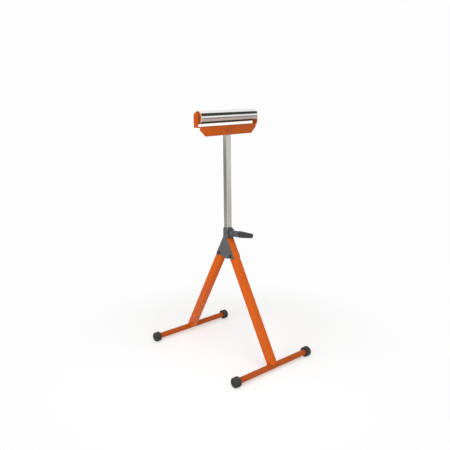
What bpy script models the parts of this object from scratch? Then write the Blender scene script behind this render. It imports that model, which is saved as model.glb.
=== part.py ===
"""Folding pedestal roller stand, standing open with its post fully raised.

Metres, +Z up. X runs along the roller, Y across the spread of the legs, and the origin is
on the floor under the post. The post slides in a sleeve between two pressed plates, a lever
on the front clamps it, and the two box-section legs fold on bolts through the same plates.
"""

import math

import bmesh
import bpy
from mathutils import Matrix, Vector

MM = 0.001

# Clearances
GAP = 0.3 * MM
LEG_MEETING_GAP = 1.0 * MM
CUT_OVERRUN = 4.0 * MM

# Roller and its bracket
ROLLER_TOP_HEIGHT = 1092.0 * MM
ROLLER_RADIUS = 27.0 * MM
ROLLER_WALL = 1.6 * MM
ROLLER_LENGTH = 308.0 * MM
ROLLER_TO_WEB = 12.0 * MM
ROLLER_TO_EAR = 7.5 * MM
SHEET = 2.5 * MM
FOLD_RADIUS = 3.2 * MM
EAR_HALF_WIDTH = 14.5 * MM
EAR_NECK_HALF_WIDTH = 11.8 * MM
EAR_NECK_HEIGHT = 4.5 * MM
EAR_ABOVE_AXLE = 20.0 * MM
SKIRT_SETBACK = 7.5 * MM
SKIRT_DROP = 38.5 * MM
SKIRT_CLIP_WIDTH = 27.0 * MM
SKIRT_CLIP_HEIGHT = 26.5 * MM

# Bearings in the roller's end caps
CAP_RECESS = 0.5 * MM
CAP_DEPTH = 12.0 * MM
CAP_SHEET = 2.0 * MM
CAP_LIP_RADIUS = 9.0 * MM
CAP_CHAMFER = 0.4 * MM
AXLE_RADIUS = 4.0 * MM
BEARING_RADIUS = 11.0 * MM
BEARING_WIDTH = 7.0 * MM
BEARING_SETBACK = 1.8 * MM
BALL_RADIUS = 2.0 * MM
BALL_COUNT = 7
RACE_LAND = 1.4 * MM
CAGE_HALF_WALL = 0.95 * MM
CAGE_WIDTH = 6.2 * MM
SPACER_WALL = 1.8 * MM

# Post
POST_WIDTH = 25.4 * MM
POST_WALL = 1.5 * MM
POST_CORNER = 2.5 * MM
HEAD_BOLT_RADIUS = 3.0 * MM
HEAD_BOLT_ACROSS_FLATS = 10.0 * MM
HEAD_BOLT_HEAD = 4.0 * MM
HEAD_NUT_HEIGHT = 5.0 * MM
HEAD_BOLT_TAIL = 1.5 * MM
HEAD_BOLT_BELOW_WEB = 15.0 * MM
HEAD_BOLT_SPACING = 16.0 * MM
PLUG_FLANGE = 3.0 * MM
PLUG_DEPTH = 16.0 * MM

# Sleeve, clamp block and lever
SLEEVE_ABOVE_PIVOT = 122.5 * MM
SLEEVE_LENGTH = 137.3 * MM
SLEEVE_WALL = 1.45 * MM
CLAMP_BELOW_TOP = 22.5 * MM
BLOCK_WIDTH = 25.0 * MM
BLOCK_DEPTH = 12.0 * MM
BLOCK_BELOW_CLAMP = 19.0 * MM
BLOCK_CORNER = 6.0 * MM
BLOCK_BELOW_SLEEVE_TOP = 3.0 * MM
CLAMP_BOLT_RADIUS = 5.0 * MM
CLAMP_BOLT_ACROSS_FLATS = 16.0 * MM
CLAMP_BOLT_HEAD = 6.0 * MM
SHOE_RADIUS = 6.0 * MM
SHOE_THICKNESS = 3.0 * MM
SHOE_TRAVEL_ROOM = 1.5 * MM
LEVER_DROOP = math.radians(15.8)
LEVER_HUB_RADIUS = 14.5 * MM
LEVER_HUB_LENGTH = 15.0 * MM
LEVER_ARM_THICKNESS = 8.0 * MM
LEVER_ARM_LENGTH = 34.0 * MM
LEVER_ARM_WIDTH = 25.0 * MM
LEVER_ARM_INSET = 1.0 * MM
LEVER_TANG_LENGTH = 26.0 * MM
LEVER_TANG_WIDTH = 13.0 * MM
GRIP_LENGTH = 88.0 * MM
GRIP_WIDE_RADIUS = 13.2 * MM
GRIP_NARROW_RADIUS = 9.6 * MM
GRIP_FLATNESS = 0.57
GRIP_SHOULDER = 2.0 * MM
GRIP_END_FLARE = 0.4 * MM
GRIP_WAIST_TAPER = 1.0 * MM
GRIP_NARROW_SHARE = 0.72
GRIP_WAIST_SHARE = 0.40
GRIP_WIDE_SHARE = 0.16
GRIP_END_ANGLE = 10

# Gusset plates
PLATE_THICKNESS = 2.0 * MM
PLATE_BELOW_SLEEVE_TOP = 2.5 * MM
PLATE_COLLAR_HALF_WIDTH = 12.5 * MM
PLATE_FLARE_ABOVE_PIVOT = 79.0 * MM
PLATE_CORNER_BEYOND_PIVOT = 22.0 * MM
PLATE_CORNER_BELOW_PIVOT = 7.0 * MM
PLATE_BOTTOM_BELOW_PIVOT = 11.5 * MM
PLATE_CORNER_RADIUS = 7.0 * MM
JOGGLE_HEIGHT = 8.0 * MM

# Legs and their pivots
PIVOT_OFFSET = 40.0 * MM
PIVOT_HEIGHT = 459.0 * MM
LEG_WIDTH = 32.5 * MM
LEG_DEPTH = 34.0 * MM
LEG_WALL = 1.5 * MM
LEG_CORNER = 3.0 * MM
LEG_ABOVE_PIVOT = 78.0 * MM
LEG_ABOVE_BAR_AXIS = 7.0 * MM
LEG_NOTCH_DEPTH = 4.5 * MM
LEG_TO_SLEEVE = 1.5 * MM
PIVOT_BOLT_RADIUS = 4.0 * MM
PIVOT_ACROSS_FLATS = 13.0 * MM
PIVOT_HEAD = 5.3 * MM
PIVOT_NUT = 7.0 * MM
PIVOT_TAIL = 2.0 * MM
PIVOT_BUSH_WALL = 2.0 * MM
PIVOT_WASHER_RADIUS = 8.0 * MM
PIVOT_WASHER = 1.6 * MM

# Foot bars and rubber feet
FOOT_SPREAD = 575.0 * MM
FOOT_BAR_RADIUS = 12.7 * MM
FOOT_BAR_WALL = 1.5 * MM
FOOT_BAR_LENGTH = 432.0 * MM
FOOT_CAP_RADIUS = 22.0 * MM
FOOT_CAP_GRIP = 20.0 * MM
FOOT_CAP_END = 6.0 * MM
FOOT_CAP_ROUNDING = 4.0 * MM
FOOT_CAP_CHAMFER = 1.0 * MM

# Facets around round pieces
ROLLER_FACETS = 64
BIG_FACETS = 32
SMALL_FACETS = 24
HOLE_FACETS = 24
ARC_STEPS = 4
SHARP_ANGLE = math.radians(35)
SAME_PLACE = 1e-6

# Places worked out from the sizes above
ROLLER_AXIS_Z = ROLLER_TOP_HEIGHT - ROLLER_RADIUS
WEB_TOP_Z = ROLLER_AXIS_Z - ROLLER_RADIUS - ROLLER_TO_WEB
EAR_INNER_X = ROLLER_LENGTH / 2 + ROLLER_TO_EAR
EAR_OUTER_X = EAR_INNER_X + SHEET
POST_HALF = POST_WIDTH / 2
SKIRT_OUTER_Y = POST_HALF + GAP + SHEET
SLEEVE_INNER = POST_HALF + GAP
SLEEVE_OUTER = SLEEVE_INNER + SLEEVE_WALL
SLEEVE_TOP_HEIGHT = PIVOT_HEIGHT + SLEEVE_ABOVE_PIVOT
SLEEVE_BOTTOM_Z = SLEEVE_TOP_HEIGHT - SLEEVE_LENGTH
POST_TOP_Z = WEB_TOP_Z - SHEET - GAP
POST_BOTTOM_Z = SLEEVE_BOTTOM_Z
CLAMP_Z = SLEEVE_TOP_HEIGHT - CLAMP_BELOW_TOP
BLOCK_BACK_Y = -(SLEEVE_OUTER + GAP)
BLOCK_FRONT_Y = BLOCK_BACK_Y - BLOCK_DEPTH
HUB_BACK_Y = BLOCK_FRONT_Y - GAP
HUB_FRONT_Y = HUB_BACK_Y - LEVER_HUB_LENGTH
LEVER_MID_Y = (HUB_BACK_Y + HUB_FRONT_Y) / 2
SHOE_BACK_Y = -(POST_HALF + GAP)
SHOE_FRONT_Y = SHOE_BACK_Y - SHOE_THICKNESS
LEG_HALF = LEG_WIDTH / 2
PLATE_INNER_X = LEG_HALF + GAP
PLATE_OUTER_X = PLATE_INNER_X + PLATE_THICKNESS
COLLAR_INNER_X = SLEEVE_OUTER + GAP
FOOT_AXIS_Z = FOOT_CAP_RADIUS * math.cos(math.pi / BIG_FACETS)
FOOT_Y = FOOT_SPREAD / 2
LEG_TILT = math.atan2(FOOT_Y - PIVOT_OFFSET, PIVOT_HEIGHT - FOOT_AXIS_Z)
LEG_TO_FOOT = math.hypot(FOOT_Y - PIVOT_OFFSET, PIVOT_HEIGHT - FOOT_AXIS_Z)
BUSH_RADIUS = PIVOT_BOLT_RADIUS + GAP + PIVOT_BUSH_WALL
BALL_PITCH_RADIUS = (AXLE_RADIUS + BEARING_RADIUS) / 2
HEAD_BOLT_HEIGHTS = (
    WEB_TOP_Z - HEAD_BOLT_BELOW_WEB,
    WEB_TOP_Z - HEAD_BOLT_BELOW_WEB - HEAD_BOLT_SPACING,
)

# Turns local +Z to the named world direction
TO_X = Matrix.Rotation(math.pi / 2, 4, "Y")
TO_MINUS_X = Matrix.Rotation(-math.pi / 2, 4, "Y")
TO_MINUS_Y = Matrix.Rotation(math.pi / 2, 4, "X")
TO_Y = Matrix.Rotation(-math.pi / 2, 4, "X")


class Finish:
    """Colour, roughness and metallic value of one kind of surface."""

    def __init__(self, colour, roughness, metallic):
        self.colour = colour
        self.roughness = roughness
        self.metallic = metallic


ORANGE_PAINT = Finish((0.74, 0.17, 0.025), 0.38, 0.0)
CAP_RED = Finish((0.62, 0.07, 0.02), 0.45, 0.0)
CHROME = Finish((0.82, 0.82, 0.83), 0.08, 1.0)
ZINC = Finish((0.52, 0.52, 0.50), 0.35, 1.0)
GREY_PAINT = Finish((0.10, 0.11, 0.11), 0.45, 0.0)
LEVER_METAL = Finish((0.12, 0.13, 0.15), 0.40, 0.6)
BLACK_STEEL = Finish((0.04, 0.04, 0.045), 0.40, 0.8)
BLACK_PLASTIC = Finish((0.03, 0.03, 0.03), 0.50, 0.0)
RUBBER = Finish((0.025, 0.025, 0.025), 0.75, 0.0)
BEARING_STEEL = Finish((0.60, 0.60, 0.60), 0.20, 1.0)
BRASS = Finish((0.60, 0.42, 0.14), 0.35, 1.0)


def clear_scene():
    for obj in list(bpy.data.objects):
        bpy.data.objects.remove(obj, do_unlink=True)


def new_collection(name):
    collection = bpy.data.collections.new(name)
    bpy.context.scene.collection.children.link(collection)
    return collection


clear_scene()
PARTS = new_collection("roller_stand")
CUTTERS = new_collection("cutters")


def body_empty(name, place):
    """An empty on the joint's axis that carries the pieces which move together."""
    empty = bpy.data.objects.new(name, None)
    empty.empty_display_size = 0.05
    empty.location = place
    PARTS.objects.link(empty)
    return empty


CLAMP_UNIT = body_empty("clamp_unit", (0, 0, 0))
POST_SLIDE = body_empty("post_slide", (0, 0, SLEEVE_TOP_HEIGHT))
ROLLER_SPIN = body_empty("roller_spin", (0, 0, ROLLER_AXIS_Z))
CAGE_SPIN = body_empty("cage_spin", (0, 0, ROLLER_AXIS_Z))
SHOE_SLIDE = body_empty("shoe_slide", (0, SHOE_BACK_Y, CLAMP_Z))
LEVER_TURN = body_empty("lever_turn", (0, HUB_BACK_Y, CLAMP_Z))
FRONT_LEG_FOLD = body_empty("front_leg_fold", (0, -PIVOT_OFFSET, PIVOT_HEIGHT))
REAR_LEG_FOLD = body_empty("rear_leg_fold", (0, PIVOT_OFFSET, PIVOT_HEIGHT))


def material_for(name, finish):
    material = bpy.data.materials.new(name)
    material.use_nodes = True
    shader = material.node_tree.nodes["Principled BSDF"]
    shader.inputs["Base Color"].default_value = (*finish.colour, 1)
    shader.inputs["Roughness"].default_value = finish.roughness
    shader.inputs["Metallic"].default_value = finish.metallic
    material.diffuse_color = (*finish.colour, 1)
    return material


def add_piece(name, mesh, matrix, finish, carrier):
    """Puts a finished mesh in the parts collection, on the body that carries it."""
    piece = bpy.data.objects.new(name, mesh)
    PARTS.objects.link(piece)
    piece.parent = carrier
    piece.matrix_parent_inverse = Matrix.Translation(carrier.location).inverted()
    piece.matrix_basis = matrix
    mesh.materials.append(material_for(name, finish))
    return piece


def at(x, y, z, turn=None):
    place = Matrix.Translation((x, y, z))
    return place @ turn if turn else place


def mesh_of(build):
    """A mesh made by a function that fills a bmesh."""
    bm = bmesh.new()
    build(bm)
    mesh = bpy.data.meshes.new("mesh")
    bm.to_mesh(mesh)
    bm.free()
    return mesh


def smooth_rounds(mesh):
    mesh.shade_smooth()
    mesh.set_sharp_from_angle(angle=SHARP_ANGLE)


def arc(centre, radius, start, end, steps=ARC_STEPS):
    """Points of an arc, angles in degrees, both ends included."""
    points = []
    for step in range(steps + 1):
        angle = math.radians(start + (end - start) * step / steps)
        points.append((centre[0] + radius * math.cos(angle), centre[1] + radius * math.sin(angle)))
    return points


def circle(radius, facets=HOLE_FACETS):
    return arc((0, 0), radius, 0, 360 - 360 / facets, facets - 1)


def rounded_rectangle(half_x, half_y, corner):
    points = []
    for quarter, (sx, sy) in enumerate(((1, 1), (-1, 1), (-1, -1), (1, -1))):
        centre = (sx * (half_x - corner), sy * (half_y - corner))
        points += arc(centre, corner, 90 * quarter, 90 * quarter + 90)
    return points


def rounded_square(half, corner):
    return rounded_rectangle(half, half, corner)


def rounded_outline(corners, radius):
    """The corner points of a convex outline, each replaced by an arc of the given radius."""
    points = []
    count = len(corners)
    for index, corner in enumerate(corners):
        here = Vector(corner)
        back = (Vector(corners[index - 1]) - here).normalized()
        ahead = (Vector(corners[(index + 1) % count]) - here).normalized()
        half_angle = back.angle(ahead) / 2
        centre = here + (back + ahead).normalized() * radius / math.sin(half_angle)
        start = here + back * radius / math.tan(half_angle) - centre
        end = here + ahead * radius / math.tan(half_angle) - centre
        turn = start.angle_signed(end)
        for step in range(ARC_STEPS + 1):
            offset = start.copy()
            offset.rotate(Matrix.Rotation(-turn * step / ARC_STEPS, 2))
            points.append(tuple(centre + offset))
    return points


def prism_mesh(loops, length):
    """Extrudes flat closed outlines along local Z, centred on the outline's plane."""
    curve = bpy.data.curves.new("outline", "CURVE")
    curve.dimensions = "2D"
    curve.fill_mode = "BOTH"
    curve.extrude = length / 2
    for loop in loops:
        spline = curve.splines.new("POLY")
        spline.points.add(len(loop) - 1)
        for point, (x, y) in zip(spline.points, loop):
            point.co = (x, y, 0, 1)
        spline.use_cyclic_u = True
    outline = bpy.data.objects.new("outline", curve)
    CUTTERS.objects.link(outline)
    bpy.context.view_layer.update()
    graph = bpy.context.evaluated_depsgraph_get()
    mesh = bpy.data.meshes.new_from_object(outline.evaluated_get(graph))
    bpy.data.objects.remove(outline)
    bm = bmesh.new()
    bm.from_mesh(mesh)
    bmesh.ops.remove_doubles(bm, verts=bm.verts, dist=SAME_PLACE)
    bmesh.ops.recalc_face_normals(bm, faces=bm.faces)
    bm.to_mesh(mesh)
    bm.free()
    smooth_rounds(mesh)
    return mesh


def add_turned(name, profile, closed, matrix, finish, carrier, facets=BIG_FACETS):
    """Turns a profile of (radius, height) points round local Z.

    The profile runs down its outer side. A closed one is a ring, and an open one
    starts and ends on the axis.
    """
    edges = [(index, index + 1) for index in range(len(profile) - 1)]
    if closed:
        edges.append((len(profile) - 1, 0))
    mesh = bpy.data.meshes.new(name)
    mesh.from_pydata([(radius, 0, height) for radius, height in profile], edges, [])
    piece = add_piece(name, mesh, matrix, finish, carrier)
    screw = piece.modifiers.new("turn", "SCREW")
    screw.steps = facets
    screw.render_steps = facets
    screw.use_merge_vertices = True
    screw.merge_threshold = SAME_PLACE
    screw.use_smooth_shade = True
    return piece


def add_cutter(name, mesh, matrix):
    cutter = bpy.data.objects.new(name, mesh)
    cutter.matrix_world = matrix
    cutter.hide_render = True
    cutter.display_type = "WIRE"
    CUTTERS.objects.link(cutter)
    return cutter


def cylinder_cutter(name, radius, length, matrix, facets=HOLE_FACETS):
    def build(bm):
        bmesh.ops.create_cone(
            bm, cap_ends=True, segments=facets, radius1=radius, radius2=radius, depth=length
        )

    return add_cutter(name, mesh_of(build), matrix)


def box_mesh(size_x, size_y, size_z):
    def build(bm):
        bmesh.ops.create_cube(bm, size=1)
        bmesh.ops.scale(bm, vec=(size_x, size_y, size_z), verts=bm.verts)

    return mesh_of(build)


def box_cutter(name, low, high):
    low, high = Vector(low), Vector(high)
    return add_cutter(name, box_mesh(*(high - low)), Matrix.Translation((low + high) / 2))


def cut(piece, cutter):
    boolean = piece.modifiers.new("cut_" + cutter.name, "BOOLEAN")
    boolean.operation = "DIFFERENCE"
    boolean.object = cutter


def join(piece, other):
    """Fuses a helper shape, which is then hidden, to a piece."""
    boolean = piece.modifiers.new("join_" + other.name, "BOOLEAN")
    boolean.operation = "UNION"
    boolean.object = other


def tube_profile(outer, inner, half_length):
    return [(outer, half_length), (outer, -half_length), (inner, -half_length), (inner, half_length)]


def add_bolt(name, shank, length, across_flats, head, matrix, finish, carrier):
    """A hexagon bolt. Local Z runs from its tip to its head, and the head's seat is at 0."""
    chamfer = shank / 5
    profile = [
        (0, head / 2),
        (shank, head / 2),
        (shank, -length + chamfer),
        (shank - chamfer, -length),
        (0, -length),
    ]
    bolt = add_turned(name, profile, False, matrix, finish, carrier, SMALL_FACETS)
    join(bolt, add_cutter(f"{name}_head", hexagon_mesh(across_flats, head), matrix))
    return bolt


def add_nut(name, across_flats, height, bore, matrix, finish, carrier):
    """A hexagon nut. Local Z is its axis, and its seat is at 0."""
    nut = add_piece(name, hexagon_mesh(across_flats, height), matrix, finish, carrier)
    middle = matrix @ at(0, 0, height / 2)
    cut(nut, cylinder_cutter(f"{name}_bore", bore, height + 2 * CUT_OVERRUN, middle))
    return nut


def hexagon_mesh(across_flats, height):
    """A hexagonal prism that stands on local Z = 0."""
    radius = across_flats / math.sqrt(3)

    def build(bm):
        bmesh.ops.create_cone(
            bm,
            cap_ends=True,
            segments=6,
            radius1=radius,
            radius2=radius,
            depth=height,
            matrix=Matrix.Translation((0, 0, height / 2)),
        )

    return mesh_of(build)


def make_head_bracket():
    """One folded sheet: a web, an ear up at each end and a skirt down along the front."""
    web_columns = (-EAR_INNER_X, -EAR_INNER_X + SKIRT_SETBACK, EAR_INNER_X - SKIRT_SETBACK, EAR_INNER_X)
    web_rows = (-SKIRT_OUTER_Y, -EAR_NECK_HALF_WIDTH, EAR_HALF_WIDTH)
    ear_arc_z = ROLLER_AXIS_Z + EAR_ABOVE_AXLE - EAR_HALF_WIDTH
    ear_steps = 2 * ARC_STEPS

    def line_up(verts, axis, places):
        steps = sorted({round(vert.co[axis], 4) for vert in verts})
        for vert in verts:
            vert.co[axis] = places[steps.index(round(vert.co[axis], 4))]

    def new_row(bm, edges):
        found = bmesh.ops.extrude_edge_only(bm, edges=edges)["geom"]
        verts = [item for item in found if isinstance(item, bmesh.types.BMVert)]
        return verts, [item for item in found if isinstance(item, bmesh.types.BMEdge)]

    def add_skirt(bm):
        edges = [
            edge
            for edge in bm.edges
            if all(
                abs(vert.co.y + SKIRT_OUTER_Y) < SAME_PLACE
                and abs(vert.co.z - WEB_TOP_Z) < SAME_PLACE
                for vert in edge.verts
            )
        ]
        verts, edges = new_row(bm, edges)
        for vert in verts:
            vert.co.z = WEB_TOP_Z - SKIRT_DROP + SKIRT_CLIP_HEIGHT
        verts, edges = new_row(bm, edges)
        for vert in verts:
            vert.co.z = WEB_TOP_Z - SKIRT_DROP
            vert.co.x -= math.copysign(SKIRT_CLIP_WIDTH, vert.co.x)

    def add_ear(bm, side):
        edges = [
            edge
            for edge in bm.edges
            if all(abs(vert.co.x - side * EAR_INNER_X) < SAME_PLACE for vert in edge.verts)
        ]
        verts, edges = new_row(bm, edges)
        for vert in verts:
            vert.co.z = WEB_TOP_Z + EAR_NECK_HEIGHT
        verts, edges = new_row(bm, edges)
        for vert in verts:
            vert.co.y = math.copysign(EAR_HALF_WIDTH, vert.co.y)
            vert.co.z = WEB_TOP_Z + EAR_NECK_HEIGHT + EAR_HALF_WIDTH - EAR_NECK_HALF_WIDTH
        for step in range(ear_steps + 1):
            angle = math.pi / 2 * step / ear_steps
            verts, edges = new_row(bm, edges)
            for vert in verts:
                vert.co.y = math.copysign(EAR_HALF_WIDTH * math.cos(angle), vert.co.y)
                vert.co.z = ear_arc_z + EAR_HALF_WIDTH * math.sin(angle)

    def build(bm):
        bmesh.ops.create_grid(bm, x_segments=3, y_segments=2, size=1)
        line_up(bm.verts, 0, web_columns)
        line_up(bm.verts, 1, web_rows)
        for vert in bm.verts:
            vert.co.z = WEB_TOP_Z
        corners = [
            face
            for face in bm.faces
            if abs(face.calc_center_median().x) > EAR_INNER_X - SKIRT_SETBACK
            and face.calc_center_median().y < -EAR_NECK_HALF_WIDTH
        ]
        bmesh.ops.delete(bm, geom=corners, context="FACES")
        add_skirt(bm)
        for side in (-1, 1):
            add_ear(bm, side)
        bmesh.ops.remove_doubles(bm, verts=bm.verts, dist=SAME_PLACE)
        bmesh.ops.recalc_face_normals(bm, faces=bm.faces)
        top = max(bm.faces, key=lambda face: face.calc_area() * abs(face.normal.z))
        if top.normal.z < 0:
            bmesh.ops.reverse_faces(bm, faces=bm.faces)
        folds = [
            edge
            for edge in bm.edges
            if len(edge.link_faces) == 2 and edge.calc_face_angle() > math.radians(80)
        ]
        bmesh.ops.bevel(
            bm, geom=folds, offset=FOLD_RADIUS, segments=ARC_STEPS, profile=0.5, affect="EDGES"
        )

    bracket = add_piece("head_bracket", mesh_of(build), at(0, 0, 0), ORANGE_PAINT, POST_SLIDE)
    thick = bracket.modifiers.new("sheet", "SOLIDIFY")
    thick.thickness = SHEET
    thick.offset = -1
    thick.use_even_offset = True
    for side, label in ((-1, "left"), (1, "right")):
        hole = cylinder_cutter(
            f"ear_hole_{label}",
            AXLE_RADIUS + GAP,
            SHEET + 2 * CUT_OVERRUN,
            at(side * (EAR_INNER_X + SHEET / 2), 0, ROLLER_AXIS_Z, TO_X),
        )
        cut(bracket, hole)
    for index, height in enumerate(HEAD_BOLT_HEIGHTS):
        cut(bracket, head_bolt_hole(f"skirt_hole_{index + 1}", height))
    return bracket


def head_bolt_hole(name, height):
    return cylinder_cutter(
        name, HEAD_BOLT_RADIUS + GAP, 2 * (SKIRT_OUTER_Y + CUT_OVERRUN), at(0, 0, height, TO_Y)
    )


def make_post():
    outer = rounded_square(POST_HALF, POST_CORNER)
    inner = rounded_square(POST_HALF - POST_WALL, POST_CORNER - POST_WALL)
    mesh = prism_mesh([outer, inner], POST_TOP_Z - POST_BOTTOM_Z)
    middle = (POST_TOP_Z + POST_BOTTOM_Z) / 2
    post = add_piece("post_tube", mesh, at(0, 0, middle), ZINC, POST_SLIDE)
    for index, height in enumerate(HEAD_BOLT_HEIGHTS):
        cut(post, head_bolt_hole(f"post_hole_{index + 1}", height))
    make_post_plug()
    make_head_fasteners()


def make_post_plug():
    """Plastic plug whose flange stops the post from leaving the sleeve."""
    flange_top = POST_BOTTOM_Z - GAP
    mesh = prism_mesh([rounded_square(SLEEVE_OUTER, POST_CORNER)], PLUG_FLANGE)
    place = at(0, 0, flange_top - PLUG_FLANGE / 2)
    plug = add_piece("post_plug", mesh, place, BLACK_PLASTIC, POST_SLIDE)
    stem_half = POST_HALF - POST_WALL - GAP
    stem = prism_mesh([rounded_square(stem_half, POST_CORNER - POST_WALL)], PLUG_DEPTH + PLUG_FLANGE)
    join(plug, add_cutter("plug_stem", stem, at(0, 0, flange_top + (PLUG_DEPTH - PLUG_FLANGE) / 2)))


def make_head_fasteners():
    head_seat = SKIRT_OUTER_Y + GAP
    nut_seat = POST_HALF + GAP
    length = head_seat + nut_seat + HEAD_NUT_HEIGHT + HEAD_BOLT_TAIL
    bore = HEAD_BOLT_RADIUS + GAP
    for label, height in zip(("upper", "lower"), HEAD_BOLT_HEIGHTS):
        add_bolt(
            f"head_bolt_{label}",
            HEAD_BOLT_RADIUS,
            length,
            HEAD_BOLT_ACROSS_FLATS,
            HEAD_BOLT_HEAD,
            at(0, -head_seat, height, TO_MINUS_Y),
            ZINC,
            POST_SLIDE,
        )
        add_nut(
            f"head_nut_{label}",
            HEAD_BOLT_ACROSS_FLATS,
            HEAD_NUT_HEIGHT,
            bore,
            at(0, nut_seat, height, TO_Y),
            ZINC,
            POST_SLIDE,
        )


def make_roller():
    profile = tube_profile(ROLLER_RADIUS, ROLLER_RADIUS - ROLLER_WALL, ROLLER_LENGTH / 2)
    place = at(0, 0, ROLLER_AXIS_Z, TO_X)
    add_turned("roller_tube", profile, True, place, CHROME, ROLLER_SPIN, ROLLER_FACETS)
    for label, turn, side in (("left", TO_MINUS_X, -1), ("right", TO_X, 1)):
        end = at(side * ROLLER_LENGTH / 2, 0, ROLLER_AXIS_Z, turn)
        make_end_cap(label, end)
        make_bearing(label, end)


def make_end_cap(label, end):
    """Pressed cap: a rim inside the tube, a face and a pocket for the bearing. Local +Z points out."""
    rim = ROLLER_RADIUS - ROLLER_WALL - GAP
    pocket = BEARING_RADIUS + GAP
    face = -CAP_RECESS
    seat = -(BEARING_SETBACK + CAP_RECESS + BEARING_WIDTH + GAP)
    profile = [
        (rim, face - CAP_CHAMFER),
        (rim, face - CAP_DEPTH),
        (rim - CAP_SHEET, face - CAP_DEPTH),
        (rim - CAP_SHEET, face - CAP_SHEET),
        (pocket + CAP_SHEET, face - CAP_SHEET),
        (pocket + CAP_SHEET, seat - CAP_SHEET),
        (CAP_LIP_RADIUS, seat - CAP_SHEET),
        (CAP_LIP_RADIUS, seat),
        (pocket, seat),
        (pocket, face),
        (rim - CAP_CHAMFER, face),
    ]
    add_turned(f"roller_cap_{label}", profile, True, end, CAP_RED, ROLLER_SPIN)


def groove(centre_height, land, radius, outward):
    """The ball groove of a race, from its upper land to its lower one."""
    half = math.acos(abs(land - BALL_PITCH_RADIUS) / radius)
    points = []
    for step in range(2 * ARC_STEPS + 1):
        angle = half * (1 - step / ARC_STEPS)
        reach = radius * math.cos(angle)
        height = centre_height + radius * math.sin(angle)
        points.append((BALL_PITCH_RADIUS + (reach if outward else -reach), height))
    return points


def make_bearing(label, end):
    """A deep groove ball bearing: both races, the ring of balls and the cage that spaces them."""
    middle = -(CAP_RECESS + BEARING_SETBACK + BEARING_WIDTH / 2)
    half = BEARING_WIDTH / 2
    groove_radius = BALL_RADIUS + GAP
    bore = AXLE_RADIUS + GAP
    inner_land = BALL_PITCH_RADIUS - RACE_LAND
    outer_land = BALL_PITCH_RADIUS + RACE_LAND
    inner = [(inner_land, middle + half)] + groove(middle, inner_land, groove_radius, False)
    inner += [(inner_land, middle - half), (bore, middle - half), (bore, middle + half)]
    add_turned(f"bearing_inner_race_{label}", inner, True, end, BEARING_STEEL, POST_SLIDE)
    outer = [
        (BEARING_RADIUS, middle + half),
        (BEARING_RADIUS, middle - half),
        (outer_land, middle - half),
    ]
    outer += list(reversed(groove(middle, outer_land, groove_radius, True)))
    outer += [(outer_land, middle + half)]
    add_turned(f"bearing_outer_race_{label}", outer, True, end, BEARING_STEEL, ROLLER_SPIN)
    make_balls(label, end, middle)
    spacer_top = ROLLER_TO_EAR - GAP
    spacer_bottom = middle + half + GAP
    spacer_mid = (spacer_top + spacer_bottom) / 2
    spacer = tube_profile(bore + SPACER_WALL, bore, (spacer_top - spacer_bottom) / 2)
    place = end @ at(0, 0, spacer_mid)
    add_turned(f"axle_spacer_{label}", spacer, True, place, ZINC, POST_SLIDE, SMALL_FACETS)


def make_balls(label, end, middle):
    """The balls and the cage that is crimped round them, which travel round the race as one."""
    ring = tube_profile(
        BALL_PITCH_RADIUS + CAGE_HALF_WALL, BALL_PITCH_RADIUS - CAGE_HALF_WALL, CAGE_WIDTH / 2
    )
    place = end @ at(0, 0, middle)
    cage = add_turned(f"bearing_balls_{label}", ring, True, place, BRASS, CAGE_SPIN)

    def build(bm):
        for index in range(BALL_COUNT):
            turn = Matrix.Rotation(2 * math.pi * index / BALL_COUNT, 4, "Z")
            ball_place = turn @ Matrix.Translation((BALL_PITCH_RADIUS, 0, 0))
            bmesh.ops.create_icosphere(bm, subdivisions=2, radius=BALL_RADIUS, matrix=ball_place)

    join(cage, add_cutter(f"balls_{label}", mesh_of(build), place))


def make_axle():
    """Plain rod whose ends are peened flush with the ears."""
    half = EAR_OUTER_X
    profile = [(0, half), (AXLE_RADIUS, half), (AXLE_RADIUS, -half), (0, -half)]
    place = at(0, 0, ROLLER_AXIS_Z, TO_X)
    add_turned("roller_axle", profile, False, place, ZINC, POST_SLIDE, SMALL_FACETS)


def make_sleeve():
    outer = rounded_square(SLEEVE_OUTER, POST_CORNER + SLEEVE_WALL)
    inner = rounded_square(SLEEVE_INNER, POST_CORNER)
    mesh = prism_mesh([outer, inner], SLEEVE_LENGTH)
    middle = (SLEEVE_TOP_HEIGHT + SLEEVE_BOTTOM_Z) / 2
    sleeve = add_piece("guide_sleeve", mesh, at(0, 0, middle), GREY_PAINT, CLAMP_UNIT)
    shoe_window = cylinder_cutter(
        "shoe_window",
        SHOE_RADIUS + GAP,
        SLEEVE_WALL + 2 * CUT_OVERRUN,
        at(0, -(SLEEVE_INNER + SLEEVE_OUTER) / 2, CLAMP_Z, TO_Y),
    )
    cut(sleeve, shoe_window)


def plate_outline():
    """Half outline of a gusset plate from its foot up to the collar, mirrored across the post."""
    top = SLEEVE_TOP_HEIGHT - PLATE_BELOW_SLEEVE_TOP
    flare = PIVOT_HEIGHT + PLATE_FLARE_ABOVE_PIVOT
    corner_y = PIVOT_OFFSET + PLATE_CORNER_BEYOND_PIVOT
    corner_z = PIVOT_HEIGHT - PLATE_CORNER_BELOW_PIVOT
    foot = PIVOT_HEIGHT - PLATE_BOTTOM_BELOW_PIVOT
    edge = Vector((PLATE_COLLAR_HALF_WIDTH - corner_y, flare - corner_z)).normalized()
    start = math.degrees(math.atan2(-edge.x, edge.y))
    centre_y = corner_y - PLATE_CORNER_RADIUS / math.cos(math.radians(start))
    centre_z = foot + PLATE_CORNER_RADIUS
    centre = (centre_y + (centre_z - corner_z) * edge.x / edge.y, centre_z)
    half = [(PLATE_COLLAR_HALF_WIDTH, top), (PLATE_COLLAR_HALF_WIDTH, flare)]
    half += arc(centre, PLATE_CORNER_RADIUS, start, -90)
    return half + [(-y, z) for y, z in reversed(half)]


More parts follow.
